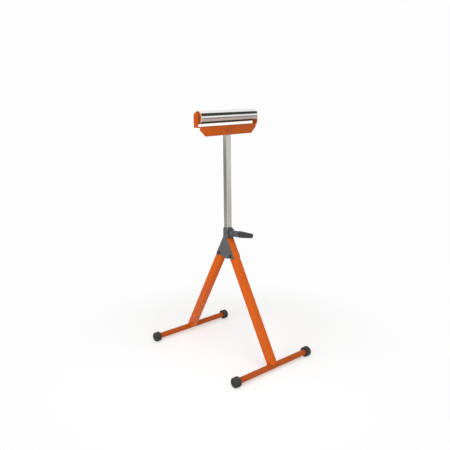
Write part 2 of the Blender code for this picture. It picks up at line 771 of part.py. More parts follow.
def make_gusset_plates():
    """Two pressed plates, set in at the collar by a joggle so that they bear on the sleeve."""
    joggle_start = PIVOT_HEIGHT + math.hypot(LEG_ABOVE_PIVOT, LEG_DEPTH / 2) + 2 * GAP
    joggle_end = joggle_start + JOGGLE_HEIGHT
    step_in = PLATE_INNER_X - COLLAR_INNER_X
    # The outline's local X and Y are the world's Y and Z, and local Z is the world's X.
    to_side = Matrix(((0, 0, 1, 0), (1, 0, 0, 0), (0, 1, 0, 0), (0, 0, 0, 1)))
    for label, side in (("left", -1), ("right", 1)):
        mesh = prism_mesh([plate_outline()], PLATE_THICKNESS)
        bm = bmesh.new()
        bm.from_mesh(mesh)
        bm.transform(to_side)
        bmesh.ops.translate(bm, vec=(side * (PLATE_INNER_X + PLATE_THICKNESS / 2), 0, 0), verts=bm.verts)
        for height in (joggle_start, joggle_end):
            everything = bm.verts[:] + bm.edges[:] + bm.faces[:]
            bmesh.ops.bisect_plane(
                bm, geom=everything, dist=1e-7, plane_co=(0, 0, height), plane_no=(0, 0, 1)
            )
        for vert in bm.verts:
            share = (vert.co.z - joggle_start) / JOGGLE_HEIGHT
            vert.co.x -= side * step_in * min(max(share, 0), 1)
        bmesh.ops.recalc_face_normals(bm, faces=bm.faces)
        bm.to_mesh(mesh)
        bm.free()
        plate = add_piece(f"gusset_plate_{label}", mesh, at(0, 0, 0), GREY_PAINT, CLAMP_UNIT)
        middle_x = side * (PLATE_INNER_X + PLATE_THICKNESS / 2)
        for leg, leg_side in (("front", -1), ("rear", 1)):
            hole = cylinder_cutter(
                f"plate_hole_{label}_{leg}",
                PIVOT_BOLT_RADIUS + GAP,
                PLATE_THICKNESS + 2 * CUT_OVERRUN,
                at(middle_x, leg_side * PIVOT_OFFSET, PIVOT_HEIGHT, TO_X),
            )
            cut(plate, hole)


def make_clamp_block():
    """Block welded to the front of the sleeve, tapped for the clamp bolt, with room for the shoe."""
    low = CLAMP_Z - BLOCK_BELOW_CLAMP
    top = SLEEVE_TOP_HEIGHT - BLOCK_BELOW_SLEEVE_TOP
    half_height = (top - low) / 2
    half_width = BLOCK_WIDTH / 2
    corners = [
        (half_width, half_height),
        (-half_width, half_height),
        (-half_width, -half_height),
        (half_width, -half_height),
    ]
    mesh = prism_mesh([rounded_outline(corners, BLOCK_CORNER)], BLOCK_DEPTH)
    middle_y = (BLOCK_BACK_Y + BLOCK_FRONT_Y) / 2
    place = at(0, middle_y, low + half_height, TO_MINUS_Y)
    block = add_piece("clamp_block", mesh, place, GREY_PAINT, CLAMP_UNIT)
    thread = cylinder_cutter(
        "block_thread",
        CLAMP_BOLT_RADIUS + GAP,
        BLOCK_DEPTH + 2 * CUT_OVERRUN,
        at(0, middle_y, CLAMP_Z, TO_Y),
    )
    cut(block, thread)
    pocket_front = SHOE_FRONT_Y - SHOE_TRAVEL_ROOM
    pocket_back = BLOCK_BACK_Y + CUT_OVERRUN
    pocket = cylinder_cutter(
        "shoe_pocket",
        SHOE_RADIUS + GAP,
        pocket_back - pocket_front,
        at(0, (pocket_front + pocket_back) / 2, CLAMP_Z, TO_Y),
    )
    cut(block, pocket)


def make_clamp_shoe():
    half = SHOE_THICKNESS / 2
    profile = [(0, half), (SHOE_RADIUS, half), (SHOE_RADIUS, -half), (0, -half)]
    place = at(0, SHOE_BACK_Y - half, CLAMP_Z, TO_MINUS_Y)
    add_turned("clamp_shoe", profile, False, place, BRASS, SHOE_SLIDE, SMALL_FACETS)


def lever_turned(place_y):
    """Local X runs along the drooping lever, local Z points to the front."""
    return at(0, place_y, CLAMP_Z, Matrix.Rotation(LEVER_DROOP, 4, "Y") @ TO_MINUS_Y)


def make_lever():
    hub = prism_mesh([circle(LEVER_HUB_RADIUS, BIG_FACETS)], LEVER_HUB_LENGTH)
    lever = add_piece("lever_arm", hub, lever_turned(LEVER_MID_Y), LEVER_METAL, LEVER_TURN)
    arm_half = LEVER_ARM_WIDTH / 2
    tang_half = LEVER_TANG_WIDTH / 2
    tip = LEVER_ARM_LENGTH + LEVER_TANG_LENGTH
    outline = [
        (0, -LEVER_HUB_RADIUS + LEVER_ARM_INSET),
        (LEVER_ARM_LENGTH, -arm_half),
        (LEVER_ARM_LENGTH, -tang_half),
        (tip, -tang_half),
        (tip, tang_half),
        (LEVER_ARM_LENGTH, tang_half),
        (LEVER_ARM_LENGTH, arm_half),
        (0, LEVER_HUB_RADIUS - LEVER_ARM_INSET),
    ]
    arm = add_cutter("lever_blade", prism_mesh([outline], LEVER_ARM_THICKNESS), lever_turned(LEVER_MID_Y))
    join(lever, arm)
    bore = cylinder_cutter(
        "lever_bore",
        CLAMP_BOLT_RADIUS + GAP,
        LEVER_HUB_LENGTH + 2 * CUT_OVERRUN,
        at(0, LEVER_MID_Y, CLAMP_Z, TO_Y),
    )
    cut(lever, bore)
    make_grip()
    make_clamp_bolt()


def make_grip():
    """A turned handle pressed flat, slotted for the tang. Local +Z runs to its tip."""
    end_radius = GRIP_NARROW_RADIUS
    end_centre = (0, GRIP_LENGTH - end_radius)
    profile = arc(end_centre, end_radius, 90, GRIP_END_ANGLE, 2 * ARC_STEPS) + [
        (GRIP_NARROW_RADIUS + GRIP_END_FLARE, GRIP_NARROW_SHARE * GRIP_LENGTH),
        (GRIP_WIDE_RADIUS - GRIP_WAIST_TAPER, GRIP_WAIST_SHARE * GRIP_LENGTH),
        (GRIP_WIDE_RADIUS, GRIP_WIDE_SHARE * GRIP_LENGTH),
        (GRIP_WIDE_RADIUS, GRIP_SHOULDER),
        (GRIP_WIDE_RADIUS - GRIP_SHOULDER, 0),
        (0, 0),
    ]
    start = LEVER_ARM_LENGTH + GAP
    along = Matrix.Rotation(math.pi / 2, 4, "Y")
    flat = Matrix.Diagonal((1, 1, GRIP_FLATNESS, 1))
    place = lever_turned(LEVER_MID_Y) @ flat @ at(start, 0, 0, along)
    grip = add_turned("lever_grip", profile, False, place, BLACK_PLASTIC, LEVER_TURN, BIG_FACETS)
    slot = box_mesh(
        LEVER_TANG_LENGTH + GAP + CUT_OVERRUN, LEVER_TANG_WIDTH + 2 * GAP, LEVER_ARM_THICKNESS + 2 * GAP
    )
    slot_middle = LEVER_ARM_LENGTH + (LEVER_TANG_LENGTH + GAP - CUT_OVERRUN) / 2
    cut(grip, add_cutter("grip_slot", slot, lever_turned(LEVER_MID_Y) @ at(slot_middle, 0, 0)))


def make_clamp_bolt():
    seat_y = HUB_FRONT_Y - GAP
    length = SHOE_FRONT_Y - GAP - seat_y
    add_bolt(
        "clamp_bolt",
        CLAMP_BOLT_RADIUS,
        length,
        CLAMP_BOLT_ACROSS_FLATS,
        CLAMP_BOLT_HEAD,
        at(0, seat_y, CLAMP_Z, TO_MINUS_Y),
        BLACK_STEEL,
        LEVER_TURN,
    )


def make_leg(label, side, carrier):
    """A box-section leg from the collar down to its foot bar. Side is -1 in front and 1 behind."""
    facing = Matrix.Rotation(0 if side > 0 else math.pi, 4, "Z")
    frame = at(0, side * PIVOT_OFFSET, PIVOT_HEIGHT) @ facing @ Matrix.Rotation(LEG_TILT, 4, "X")
    length = LEG_ABOVE_PIVOT + LEG_TO_FOOT - LEG_ABOVE_BAR_AXIS
    middle = LEG_ABOVE_PIVOT - length / 2
    half_depth = LEG_DEPTH / 2
    outer = rounded_rectangle(LEG_HALF, half_depth, LEG_CORNER)
    inner = rounded_rectangle(LEG_HALF - LEG_WALL, half_depth - LEG_WALL, LEG_CORNER - LEG_WALL)
    mesh = prism_mesh([outer, inner], length)
    leg = add_piece(f"leg_{label}", mesh, frame @ at(0, 0, middle), ORANGE_PAINT, carrier)
    reach = LEG_ABOVE_PIVOT + LEG_DEPTH
    beyond = -side * reach
    near = side * LEG_MEETING_GAP / 2
    meeting = box_cutter(
        f"leg_meeting_{label}",
        (-LEG_WIDTH, min(near, beyond), PIVOT_HEIGHT - LEG_DEPTH),
        (LEG_WIDTH, max(near, beyond), PIVOT_HEIGHT + reach),
    )
    cut(leg, meeting)
    # Beyond this distance from the pivot the wall that faces the post would meet the sleeve.
    wall_y = PIVOT_OFFSET - half_depth * math.cos(LEG_TILT)
    notch_start = (wall_y - SLEEVE_OUTER - LEG_TO_SLEEVE) / math.sin(LEG_TILT)
    notch_length = LEG_ABOVE_PIVOT + CUT_OVERRUN - notch_start
    notch_depth = LEG_NOTCH_DEPTH + CUT_OVERRUN
    notch_middle = at(0, LEG_NOTCH_DEPTH - half_depth - notch_depth / 2, notch_start + notch_length / 2)
    notch = box_mesh(LEG_WIDTH + 2 * CUT_OVERRUN, notch_depth, notch_length)
    cut(leg, add_cutter(f"leg_notch_{label}", notch, frame @ notch_middle))
    bar_hole = cylinder_cutter(
        f"leg_saddle_{label}",
        FOOT_BAR_RADIUS + GAP,
        2 * LEG_WIDTH,
        at(0, side * FOOT_Y, FOOT_AXIS_Z, TO_X),
        BIG_FACETS,
    )
    cut(leg, bar_hole)
    pivot_hole = cylinder_cutter(
        f"leg_pivot_hole_{label}",
        BUSH_RADIUS + GAP,
        2 * LEG_WIDTH,
        at(0, side * PIVOT_OFFSET, PIVOT_HEIGHT, TO_X),
    )
    cut(leg, pivot_hole)
    make_foot(label, side, carrier)


def make_foot(label, side, carrier):
    half = FOOT_BAR_LENGTH / 2
    profile = tube_profile(FOOT_BAR_RADIUS, FOOT_BAR_RADIUS - FOOT_BAR_WALL, half)
    axis = at(0, side * FOOT_Y, FOOT_AXIS_Z, TO_X)
    add_turned(f"foot_bar_{label}", profile, True, axis, ORANGE_PAINT, carrier)
    bore = FOOT_BAR_RADIUS + GAP
    outer_end = FOOT_CAP_END
    rounding = FOOT_CAP_ROUNDING
    cap = [(0, outer_end)]
    cap += list(reversed(arc((FOOT_CAP_RADIUS - rounding, outer_end - rounding), rounding, 0, 90)))
    cap += [
        (FOOT_CAP_RADIUS, -FOOT_CAP_GRIP + FOOT_CAP_CHAMFER),
        (FOOT_CAP_RADIUS - FOOT_CAP_CHAMFER, -FOOT_CAP_GRIP),
        (bore, -FOOT_CAP_GRIP),
        (bore, GAP),
        (0, GAP),
    ]
    # Half a facet of turn puts a flat of the rubber on the floor.
    flat_down = Matrix.Rotation(math.pi / BIG_FACETS, 4, "Z")
    for end_label, turn, end_side in (("left", TO_MINUS_X, -1), ("right", TO_X, 1)):
        place = at(end_side * half, side * FOOT_Y, FOOT_AXIS_Z, turn @ flat_down)
        add_turned(f"foot_cap_{label}_{end_label}", cap, False, place, RUBBER, carrier)


def make_pivot(label, side):
    """Bolt, bush, washers and nut on which one leg folds."""
    y = side * PIVOT_OFFSET
    washer_inner = PLATE_OUTER_X + GAP
    seat = washer_inner + PIVOT_WASHER + GAP
    bush = tube_profile(BUSH_RADIUS, PIVOT_BOLT_RADIUS + GAP, PLATE_INNER_X - GAP)
    add_turned(
        f"pivot_bush_{label}", bush, True, at(0, y, PIVOT_HEIGHT, TO_X), ZINC, CLAMP_UNIT, SMALL_FACETS
    )
    add_bolt(
        f"pivot_bolt_{label}",
        PIVOT_BOLT_RADIUS,
        2 * seat + PIVOT_NUT + PIVOT_TAIL,
        PIVOT_ACROSS_FLATS,
        PIVOT_HEAD,
        at(-seat, y, PIVOT_HEIGHT, TO_MINUS_X),
        BLACK_STEEL,
        CLAMP_UNIT,
    )
    add_nut(
        f"pivot_nut_{label}",
        PIVOT_ACROSS_FLATS,
        PIVOT_NUT,
        PIVOT_BOLT_RADIUS + GAP,
        at(seat, y, PIVOT_HEIGHT, TO_X),
        BLACK_STEEL,
        CLAMP_UNIT,
    )
    washer = tube_profile(PIVOT_WASHER_RADIUS, PIVOT_BOLT_RADIUS + GAP, PIVOT_WASHER / 2)
    for end_label, end_side in (("left", -1), ("right", 1)):
        place = at(end_side * (washer_inner + PIVOT_WASHER / 2), y, PIVOT_HEIGHT, TO_X)
        add_turned(
            f"pivot_washer_{label}_{end_label}", washer, True, place, ZINC, CLAMP_UNIT, SMALL_FACETS
        )


def main():
    make_head_bracket()
    make_post()
    make_roller()
    make_axle()
    make_sleeve()
    make_gusset_plates()
    make_clamp_block()
    make_clamp_shoe()
    make_lever()
    for label, side, carrier in (("front", -1, FRONT_LEG_FOLD), ("rear", 1, REAR_LEG_FOLD)):
        make_leg(label, side, carrier)
        make_pivot(label, side)


main()
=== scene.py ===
"""A folding pedestal roller stand on a plain pale studio floor.

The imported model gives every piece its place. Each class below is one sub-assembly of the
stand. It models the pieces that show again, with the small edges that catch light, and gives
each one its finish. Sizes are in metres, with X along the roller and +Z up.
"""

import logging
import math
from dataclasses import dataclass, field, replace
from enum import Enum
from typing import Callable, Sequence

import bmesh
import bpy
from mathutils import Matrix, Vector


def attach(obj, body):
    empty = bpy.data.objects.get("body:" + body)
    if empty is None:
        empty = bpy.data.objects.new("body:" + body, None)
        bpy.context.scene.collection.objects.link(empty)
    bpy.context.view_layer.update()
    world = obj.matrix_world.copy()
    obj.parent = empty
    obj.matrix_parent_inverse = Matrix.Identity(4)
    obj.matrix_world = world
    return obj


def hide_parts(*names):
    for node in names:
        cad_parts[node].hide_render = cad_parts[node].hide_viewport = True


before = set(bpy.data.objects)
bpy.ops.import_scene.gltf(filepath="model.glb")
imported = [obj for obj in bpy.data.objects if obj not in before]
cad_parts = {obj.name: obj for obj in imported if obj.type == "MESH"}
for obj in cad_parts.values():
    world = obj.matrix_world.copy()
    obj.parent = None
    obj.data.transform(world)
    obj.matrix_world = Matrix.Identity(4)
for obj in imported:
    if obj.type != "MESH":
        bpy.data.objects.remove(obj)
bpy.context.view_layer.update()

MM = 0.001
SHARP_ANGLE = math.radians(32)
TINY = 1e-5
SMALL_ROUND = 48
ROUND = 64
LARGE_ROUND = 96
LOG = logging.getLogger("roller_stand")

Pair = tuple[float, float]
Triple = tuple[float, float, float]
Ring = Pair
Row = Triple
Colour = Triple
Point = Sequence[float]
Piece = bpy.types.Object
Socket = bpy.types.NodeSocket


class Side(Enum):
    """The two ends of the roller and of the foot bars, as signs along X."""

    LEFT = -1
    RIGHT = 1

    @property
    def label(self) -> str:
        """The word used in piece names."""
        return self.name.lower()

    @property
    def outwards(self) -> "Facing":
        """The facing that points away from the middle on this side."""
        return Facing.LEFT if self is Side.LEFT else Facing.RIGHT


class Leg(Enum):
    """The two legs, as signs along Y."""

    FRONT = -1
    REAR = 1

    @property
    def label(self) -> str:
        """The word used in piece names."""
        return self.name.lower()

    @property
    def body(self) -> str:
        """The moving body that the leg's pieces ride on."""
        return f"{self.label}_leg"


class Facing(Enum):
    """Where a turned piece's own +Z ends up, as an axis and the degrees of turn about it."""

    UP = ("X", 0)
    RIGHT = ("Y", 90)
    LEFT = ("Y", -90)
    FRONT = ("X", 90)
    BACK = ("X", -90)

    def at(self, x: float, y: float, z: float) -> Matrix:
        """Gives the matrix that turns a piece this way and puts it at a point.

        Args:
            x: Place along the roller.
            y: Place across the legs.
            z: Height.

        Returns:
            The matrix that places the piece.
        """
        axis, degrees = self.value
        return Matrix.Translation((x, y, z)) @ Matrix.Rotation(math.radians(degrees), 4, axis)


class Bench:
    """Modelling moves that every sub-assembly uses, made with Blender's own operators."""

    @staticmethod
    def deselect() -> None:
        """Leaves edit mode and deselects every object."""
        active = bpy.context.view_layer.objects.active
        if active and active.mode != "OBJECT":
            bpy.ops.object.mode_set(mode="OBJECT")
        bpy.ops.object.select_all(action="DESELECT")

    @staticmethod
    def take(piece: Piece) -> None:
        """Makes a piece the only selected object, and the active one.

        Args:
            piece: The piece to select.
        """
        Bench.deselect()
        piece.select_set(True)
        bpy.context.view_layer.objects.active = piece

    @staticmethod
    def name_new(name: str) -> Piece:
        """Names the primitive that was just added and applies its place to its mesh.

        Args:
            name: The piece's name.

        Returns:
            The primitive.
        """
        bpy.ops.object.transform_apply(location=True, rotation=True, scale=True)
        piece = bpy.context.active_object
        piece.name = name
        piece.data.name = name
        return piece

    @staticmethod
    def block(name: str, low: Point, high: Point) -> Piece:
        """Adds a block between two corners.

        Args:
            name: The piece's name.
            low: Its lowest corner.
            high: Its highest corner.

        Returns:
            The new block.
        """
        Bench.deselect()
        middle = (Vector(low) + Vector(high)) / 2
        bpy.ops.mesh.primitive_cube_add(size=1, location=middle, scale=Vector(high) - Vector(low))
        return Bench.name_new(name)

    @staticmethod
    def sheet(name: str, size_x: float, size_y: float, height: float) -> Piece:
        """Adds a flat sheet that lies level, centred over the origin.

        Args:
            name: The piece's name.
            size_x: Its size along X.
            size_y: Its size along Y.
            height: The height that it lies at.

        Returns:
            The new sheet.
        """
        Bench.deselect()
        bpy.ops.mesh.primitive_plane_add(size=1, location=(0, 0, height))
        bpy.context.active_object.scale = (size_x, size_y, 1)
        return Bench.name_new(name)

    @staticmethod
    def turned(
        name: str, rings: Sequence[Ring], place: Matrix, facets: int = SMALL_ROUND, hollow: bool = False
    ) -> Piece:
        """Raises a turned piece from a circle, ring by ring.

        Args:
            name: The piece's name.
            rings: (radius, height) of each ring in order, with the last one equal to the
                first on a hollow piece.
            place: Where the finished piece goes.
            facets: The number of flats round it.
            hollow: True for a ring or a tube, whose ends aren't closed by faces.

        Returns:
            The closed turned piece.
        """
        Bench.deselect()
        radius, height = rings[0]
        bpy.ops.mesh.primitive_circle_add(
            vertices=facets,
            radius=radius,
            location=(0, 0, height),
            fill_type="NOTHING" if hollow else "NGON",
        )
        piece = Bench.name_new(name)
        bpy.ops.object.mode_set(mode="EDIT")
        bpy.ops.mesh.select_mode(type="EDGE" if hollow else "FACE")
        bpy.ops.mesh.select_all(action="SELECT")
        for next_radius, next_height in rings[1:]:
            Bench.pull((0, 0, next_height - height))
            share = next_radius / radius
            Bench.stretch((share, share, 1), (0, 0, next_height))
            radius, height = next_radius, next_height
        Bench.close_up()
        Bench.put(piece, place)
        return piece

    @staticmethod
    def close_up() -> None:
        """Merges the doubled points of the open mesh, turns its faces outwards and leaves it."""
        bpy.ops.mesh.select_all(action="SELECT")
        bpy.ops.mesh.remove_doubles(threshold=TINY / 2)
        bpy.ops.mesh.normals_make_consistent(inside=False)
        bpy.ops.object.mode_set(mode="OBJECT")

    @staticmethod
    def put(piece: Piece, place: Matrix) -> None:
        """Moves a piece by a matrix and applies the move to its mesh.

        Args:
            piece: The piece to move.
            place: The move.
        """
        Bench.take(piece)
        piece.matrix_world = place
        bpy.ops.object.transform_apply(location=True, rotation=True, scale=True)

    @staticmethod
    def copy_of(piece: Piece, name: str, place: Matrix) -> Piece:
        """Copies a piece with a mesh of its own, and moves the copy.

        Args:
            piece: The piece to copy.
            name: The copy's name.
            place: The move from the piece to its copy, which may mirror it.

        Returns:
            The copy.
        """
        Bench.take(piece)
        bpy.ops.object.duplicate(linked=False)
        twin = bpy.context.active_object
        twin.name = name
        twin.data.name = name
        Bench.put(twin, place)
        if place.determinant() < 0:
            bpy.ops.object.mode_set(mode="EDIT")
            Bench.close_up()
        return twin

    @staticmethod
    def edit(piece: Piece, mode: str = "FACE") -> None:
        """Opens a piece for editing with nothing selected.

        Args:
            piece: The piece to open.
            mode: What can be selected: VERT, EDGE or FACE.
        """
        Bench.take(piece)
        bpy.ops.object.mode_set(mode="EDIT")
        bpy.ops.mesh.select_mode(type=mode)
        bpy.ops.mesh.select_all(action="DESELECT")

    @staticmethod
    def pick(piece: Piece, kind: str, test: Callable[..., bool]) -> None:
        """Selects only the corners, edges or faces that pass a test.

        Args:
            piece: The piece that is open for editing.
            kind: VERT, EDGE or FACE.
            test: Says whether a part of the mesh is meant.
        """
        bpy.ops.mesh.select_mode(type=kind)
        bpy.ops.mesh.select_all(action="DESELECT")
        mesh = bmesh.from_edit_mesh(piece.data)
        for part in {"VERT": mesh.verts, "EDGE": mesh.edges, "FACE": mesh.faces}[kind]:
            if test(part):
                part.select_set(True)
        if kind == "VERT":
            mesh.select_flush_mode()
        bmesh.update_edit_mesh(piece.data)

    @staticmethod
    def pick_faces(piece: Piece, test: Callable[[Vector, Vector], bool]) -> None:
        """Selects only the faces whose centre and normal pass a test."""
        Bench.pick(piece, "FACE", lambda face: test(face.calc_center_median(), face.normal))

    @staticmethod
    def pick_edges(piece: Piece, test: Callable[[Vector, Vector], bool]) -> None:
        """Selects only the edges whose middle and run from end to end pass a test.

        Args:
            piece: The piece that is open for editing.
            test: Says whether an edge with this middle and this run is meant.
        """

        def meant(edge: bmesh.types.BMEdge) -> bool:
            """Says whether this edge passes."""
            start, end = (vert.co for vert in edge.verts)
            return test((start + end) / 2, end - start)

        Bench.pick(piece, "EDGE", meant)

    @staticmethod
    def pick_points(piece: Piece, test: Callable[[Vector], bool]) -> None:
        """Selects only the points that pass a test."""
        Bench.pick(piece, "VERT", lambda vert: test(vert.co))

    @staticmethod
    def pull(move: Point) -> None:
        """Extrudes what is selected by a move, and leaves the new part selected."""
        bpy.ops.mesh.extrude_region_move(TRANSFORM_OT_translate={"value": move})

    @staticmethod
    def stretch(shares: Point, centre: Point) -> None:
        """Scales what is selected about a point."""
        bpy.ops.transform.resize(value=shares, center_override=centre)

    @staticmethod
    def climb(start: Row, rows: Sequence[Row]) -> None:
        """Extrudes the selected level edges upwards, row by row.

        Args:
            start: The half width, height and X shift of the row that is selected.
            rows: The same three for each row above it.
        """
        width, height, shift = start
        for next_width, next_height, next_shift in rows:
            Bench.pull((next_shift - shift, 0, next_height - height))
            Bench.stretch((1, next_width / width, 1), (0, 0, next_height))
            width, height, shift = next_width, next_height, next_shift

    @staticmethod
    def slice_at(point: Point, normal: Point) -> None:
        """Cuts new edges across the whole open mesh, along a plane."""
        bpy.ops.mesh.select_all(action="SELECT")
        bpy.ops.mesh.bisect(plane_co=point, plane_no=normal)

    @staticmethod
    def trim(piece: Piece, point: Point, normal: Point) -> None:
        """Cuts away what lies on a plane's outer side, and closes the cut.

        Args:
            piece: The closed piece.
            point: A point of the plane.
            normal: The direction that points to the side that goes.
        """
        Bench.edit(piece)
        bpy.ops.mesh.select_all(action="SELECT")
        bpy.ops.mesh.bisect(plane_co=point, plane_no=normal, use_fill=True, clear_outer=True)
        Bench.close_up()

    @staticmethod
    def round_picked(radius: float, steps: int = 6) -> None:
        """Rounds the selected edges of the open mesh."""
        bpy.ops.mesh.bevel(offset=radius, segments=steps, affect="EDGES", clamp_overlap=False)

    @staticmethod
    def apply(piece: Piece, kind: str, **settings: object) -> None:
        """Adds a modifier with its settings and applies it.

        Args:
            piece: The piece to change.
            kind: Blender's name of the modifier type.
            **settings: The modifier's values.
        """
        Bench.take(piece)
        modifier = piece.modifiers.new(kind.lower(), kind)
        for key, value in settings.items():
            setattr(modifier, key, value)
        bpy.ops.object.modifier_apply(modifier=modifier.name)

    @staticmethod
    def thicken(piece: Piece, wall: float, offset: float = -1.0) -> None:
        """Gives an open surface its wall, inwards from its face unless told otherwise.

        Args:
            piece: The open surface.
            wall: The wall's thickness.
            offset: -1 for a wall inside the face and 0 for one on both sides of it.
        """
        Bench.apply(
            piece, "SOLIDIFY", thickness=wall, offset=offset, use_even_offset=True, use_quality_normals=True
        )

    @staticmethod
    def combine(piece: Piece, tool: Piece, operation: str) -> None:
        """Cuts, joins or trims a piece with a tool shape, which is then removed."""
        Bench.apply(piece, "BOOLEAN", operation=operation, object=tool, solver="EXACT")
        bpy.data.objects.remove(tool, do_unlink=True)

    @staticmethod
    def bore(piece: Piece, radius: float, length: float, place: Matrix) -> None:
        """Drills a round hole.

        Args:
            piece: The piece to drill.
            radius: The hole's radius.
            length: The drill's length, centred on the place.
            place: The middle of the hole, with its own Z along the hole.
        """
        Bench.deselect()
        bpy.ops.mesh.primitive_cylinder_add(vertices=SMALL_ROUND, radius=radius, depth=length)
        drill = Bench.name_new("drill")
        Bench.put(drill, place)
        Bench.combine(piece, drill, "DIFFERENCE")

    @staticmethod
    def soften(piece: Piece, width: float, segments: int = 2) -> None:
        """Breaks every sharp edge of a piece by a small rounding.

        Args:
            piece: The piece to soften.
            width: The width of the rounding.
            segments: The number of flats across it.
        """
        Bench.apply(
            piece,
            "BEVEL",
            width=width,
            segments=segments,
            limit_method="ANGLE",
            angle_limit=SHARP_ANGLE,
            use_clamp_overlap=True,
        )

    @staticmethod
    def box_tube(name: str, halves: Pair, corner: float, wall: float, ends: Pair) -> Piece:
        """Makes an upright tube of rectangular section with rounded corners.

        Args:
            name: The piece's name.
            halves: Half its outer width along X and along Y.
            corner: The outer radius of its corners.
            wall: The thickness of its wall.
            ends: The heights of its lower and its upper end.

        Returns:
            The tube.
        """
        (wide, deep), (low, high) = halves, ends
        tube = Bench.block(name, (-wide, -deep, low), (wide, deep, high))
        Bench.edit(tube)
        Bench.pick_faces(tube, lambda middle, normal: abs(normal.z) > 0.5)
        bpy.ops.mesh.delete(type="FACE")
        Bench.pick_edges(tube, lambda middle, run: abs(run.z) > wall)
        Bench.round_picked(corner)
        bpy.ops.object.mode_set(mode="OBJECT")
        Bench.thicken(tube, wall)
        return tube

    @staticmethod
    def hand_over(piece: Piece, body: str, finish: "Finish", *nodes: str) -> None:
        """Shades, finishes and mounts a piece.

        Args:
            piece: The finished shape.
            body: The moving body that it rides on.
            finish: Its surface.
            *nodes: The nodes that it stands for.
        """
        Bench.take(piece)
        bpy.ops.object.shade_smooth_by_angle(angle=SHARP_ANGLE)
        piece.data.materials.clear()
        piece.data.materials.append(finish.build())
        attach(piece, body)
        if nodes:
            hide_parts(*nodes)
        LOG.info("%s: %d faces on %s", piece.name, len(piece.data.polygons), body)


def arc_rings(centre: Ring, radius: float, start: float, end: float, steps: int = 6) -> list[Ring]:
    """Gives the rings along an arc of a turned profile.

    Args:
        centre: The arc's centre, as (radius, height).
        radius: The arc's own radius.
        start: Its first angle in degrees, 0 outwards and 90 up.
        end: Its last angle in degrees.
        steps: The number of steps along it.

    Returns:
        The rings, both ends included.
    """
    rings = []
    for step in range(steps + 1):
        angle = math.radians(start + (end - start) * step / steps)
        rings.append((centre[0] + radius * math.cos(angle), centre[1] + radius * math.sin(angle)))
    return rings


def ring_section(inner: float, outer: float, low: float, high: float, chamfer: float) -> list[Ring]:
    """Gives the rings of a plain hollow piece with broken edges.

    Args:
        inner: Its bore radius.
        outer: Its outer radius.
        low: The height of its lower end.
        high: The height of its upper end.
        chamfer: The size of its four broken edges.

    Returns:
        The rings, back to the first one.
    """
    return [
        (inner, low + chamfer),
        (inner + chamfer, low),
        (outer - chamfer, low),
        (outer, low + chamfer),
        (outer, high - chamfer),
        (outer - chamfer, high),
        (inner + chamfer, high),
        (inner, high - chamfer),
        (inner, low + chamfer),
    ]


def bead_rings(radius: float, ends: Pair, ripple: float, shares: Sequence[float]) -> list[Ring]:
    """Gives the rings of a rippled weld bead.

    Args:
        radius: The bead's radius on its crests.
        ends: The heights that its ripples run between.
        ripple: The length of one ripple.
        shares: The radius of its tips and of its hollows as shares of the crest's, then the
            place of the crest and the run past the last ripple as shares of a ripple.

    Returns:
        The rings, both tips included.
    """
    tip, hollow, crest, run_out = shares
    low, high = ends
    rings = [(tip * radius, low)]
    for index in range(int((high - low) / ripple)):
        base = low + index * ripple
        rings += [(radius, base + crest * ripple), (hollow * radius, base + ripple)]
    rings.append((tip * radius, high + run_out * ripple))
    return rings


class Graph:
    """A short way to write a node tree."""

    def __init__(self, tree: bpy.types.NodeTree) -> None:
        """Keeps the tree that the nodes go into."""
        self.tree = tree

    def node(
        self, kind: str, inputs: dict[str | int, object] | None = None, **settings: object
    ) -> bpy.types.Node:
        """Adds a node.

        Args:
            kind: The node's type, without the words ShaderNode.
            inputs: A value or an output socket for each input.
            **settings: The node's own properties.

        Returns:
            The new node.
        """
        made = self.tree.nodes.new(f"ShaderNode{kind}")
        for key, value in settings.items():
            setattr(made, key, value)
        for key, value in (inputs or {}).items():
            self.feed(made.inputs[key], value)
        return made

    def feed(self, socket: Socket, value: object) -> None:
        """Links an output to a socket, or sets the socket's value.

        Args:
            socket: The input socket.
            value: An output socket or a plain value.
        """
        if isinstance(value, Socket):
            self.tree.links.new(value, socket)
        else:
            socket.default_value = value

    def maths(self, operation: str, first: object, second: object) -> Socket:
        """Adds a sum of two values and gives its result."""
        made = self.node("Math", {0: first, 1: second}, operation=operation)
        return made.outputs[0]

    def noise(self, vector: Socket | None = None, **inputs: object) -> Socket:
        """Adds noise, over the object's own coordinates unless told otherwise.

        Args:
            vector: The coordinates to use instead.
            **inputs: The noise node's own inputs.

        Returns:
            The noise, between 0 and 1.
        """
        if vector is None:
            vector = self.node("TexCoord").outputs["Object"]
        return self.node("TexNoise", {"Vector": vector, **inputs}).outputs["Fac"]

    def blend(self, share: Socket, first: Socket, second: Socket) -> Socket:
        """Adds a mix of two colours and gives its result."""
        return self.node("Mix", {0: share, 6: first, 7: second}, data_type="RGBA").outputs[2]

    def group(self, tree: bpy.types.NodeTree, **inputs: object) -> bpy.types.Node:
        """Places a shared group and gives it its own values.

        Args:
            tree: The shared group.
            **inputs: A value or an output socket for each input.

        Returns:
            The node that holds the group.
        """
        made = self.tree.nodes.new("ShaderNodeGroup")
        made.node_tree = tree
        for key, value in inputs.items():
            self.feed(made.inputs[key], value)
        return made


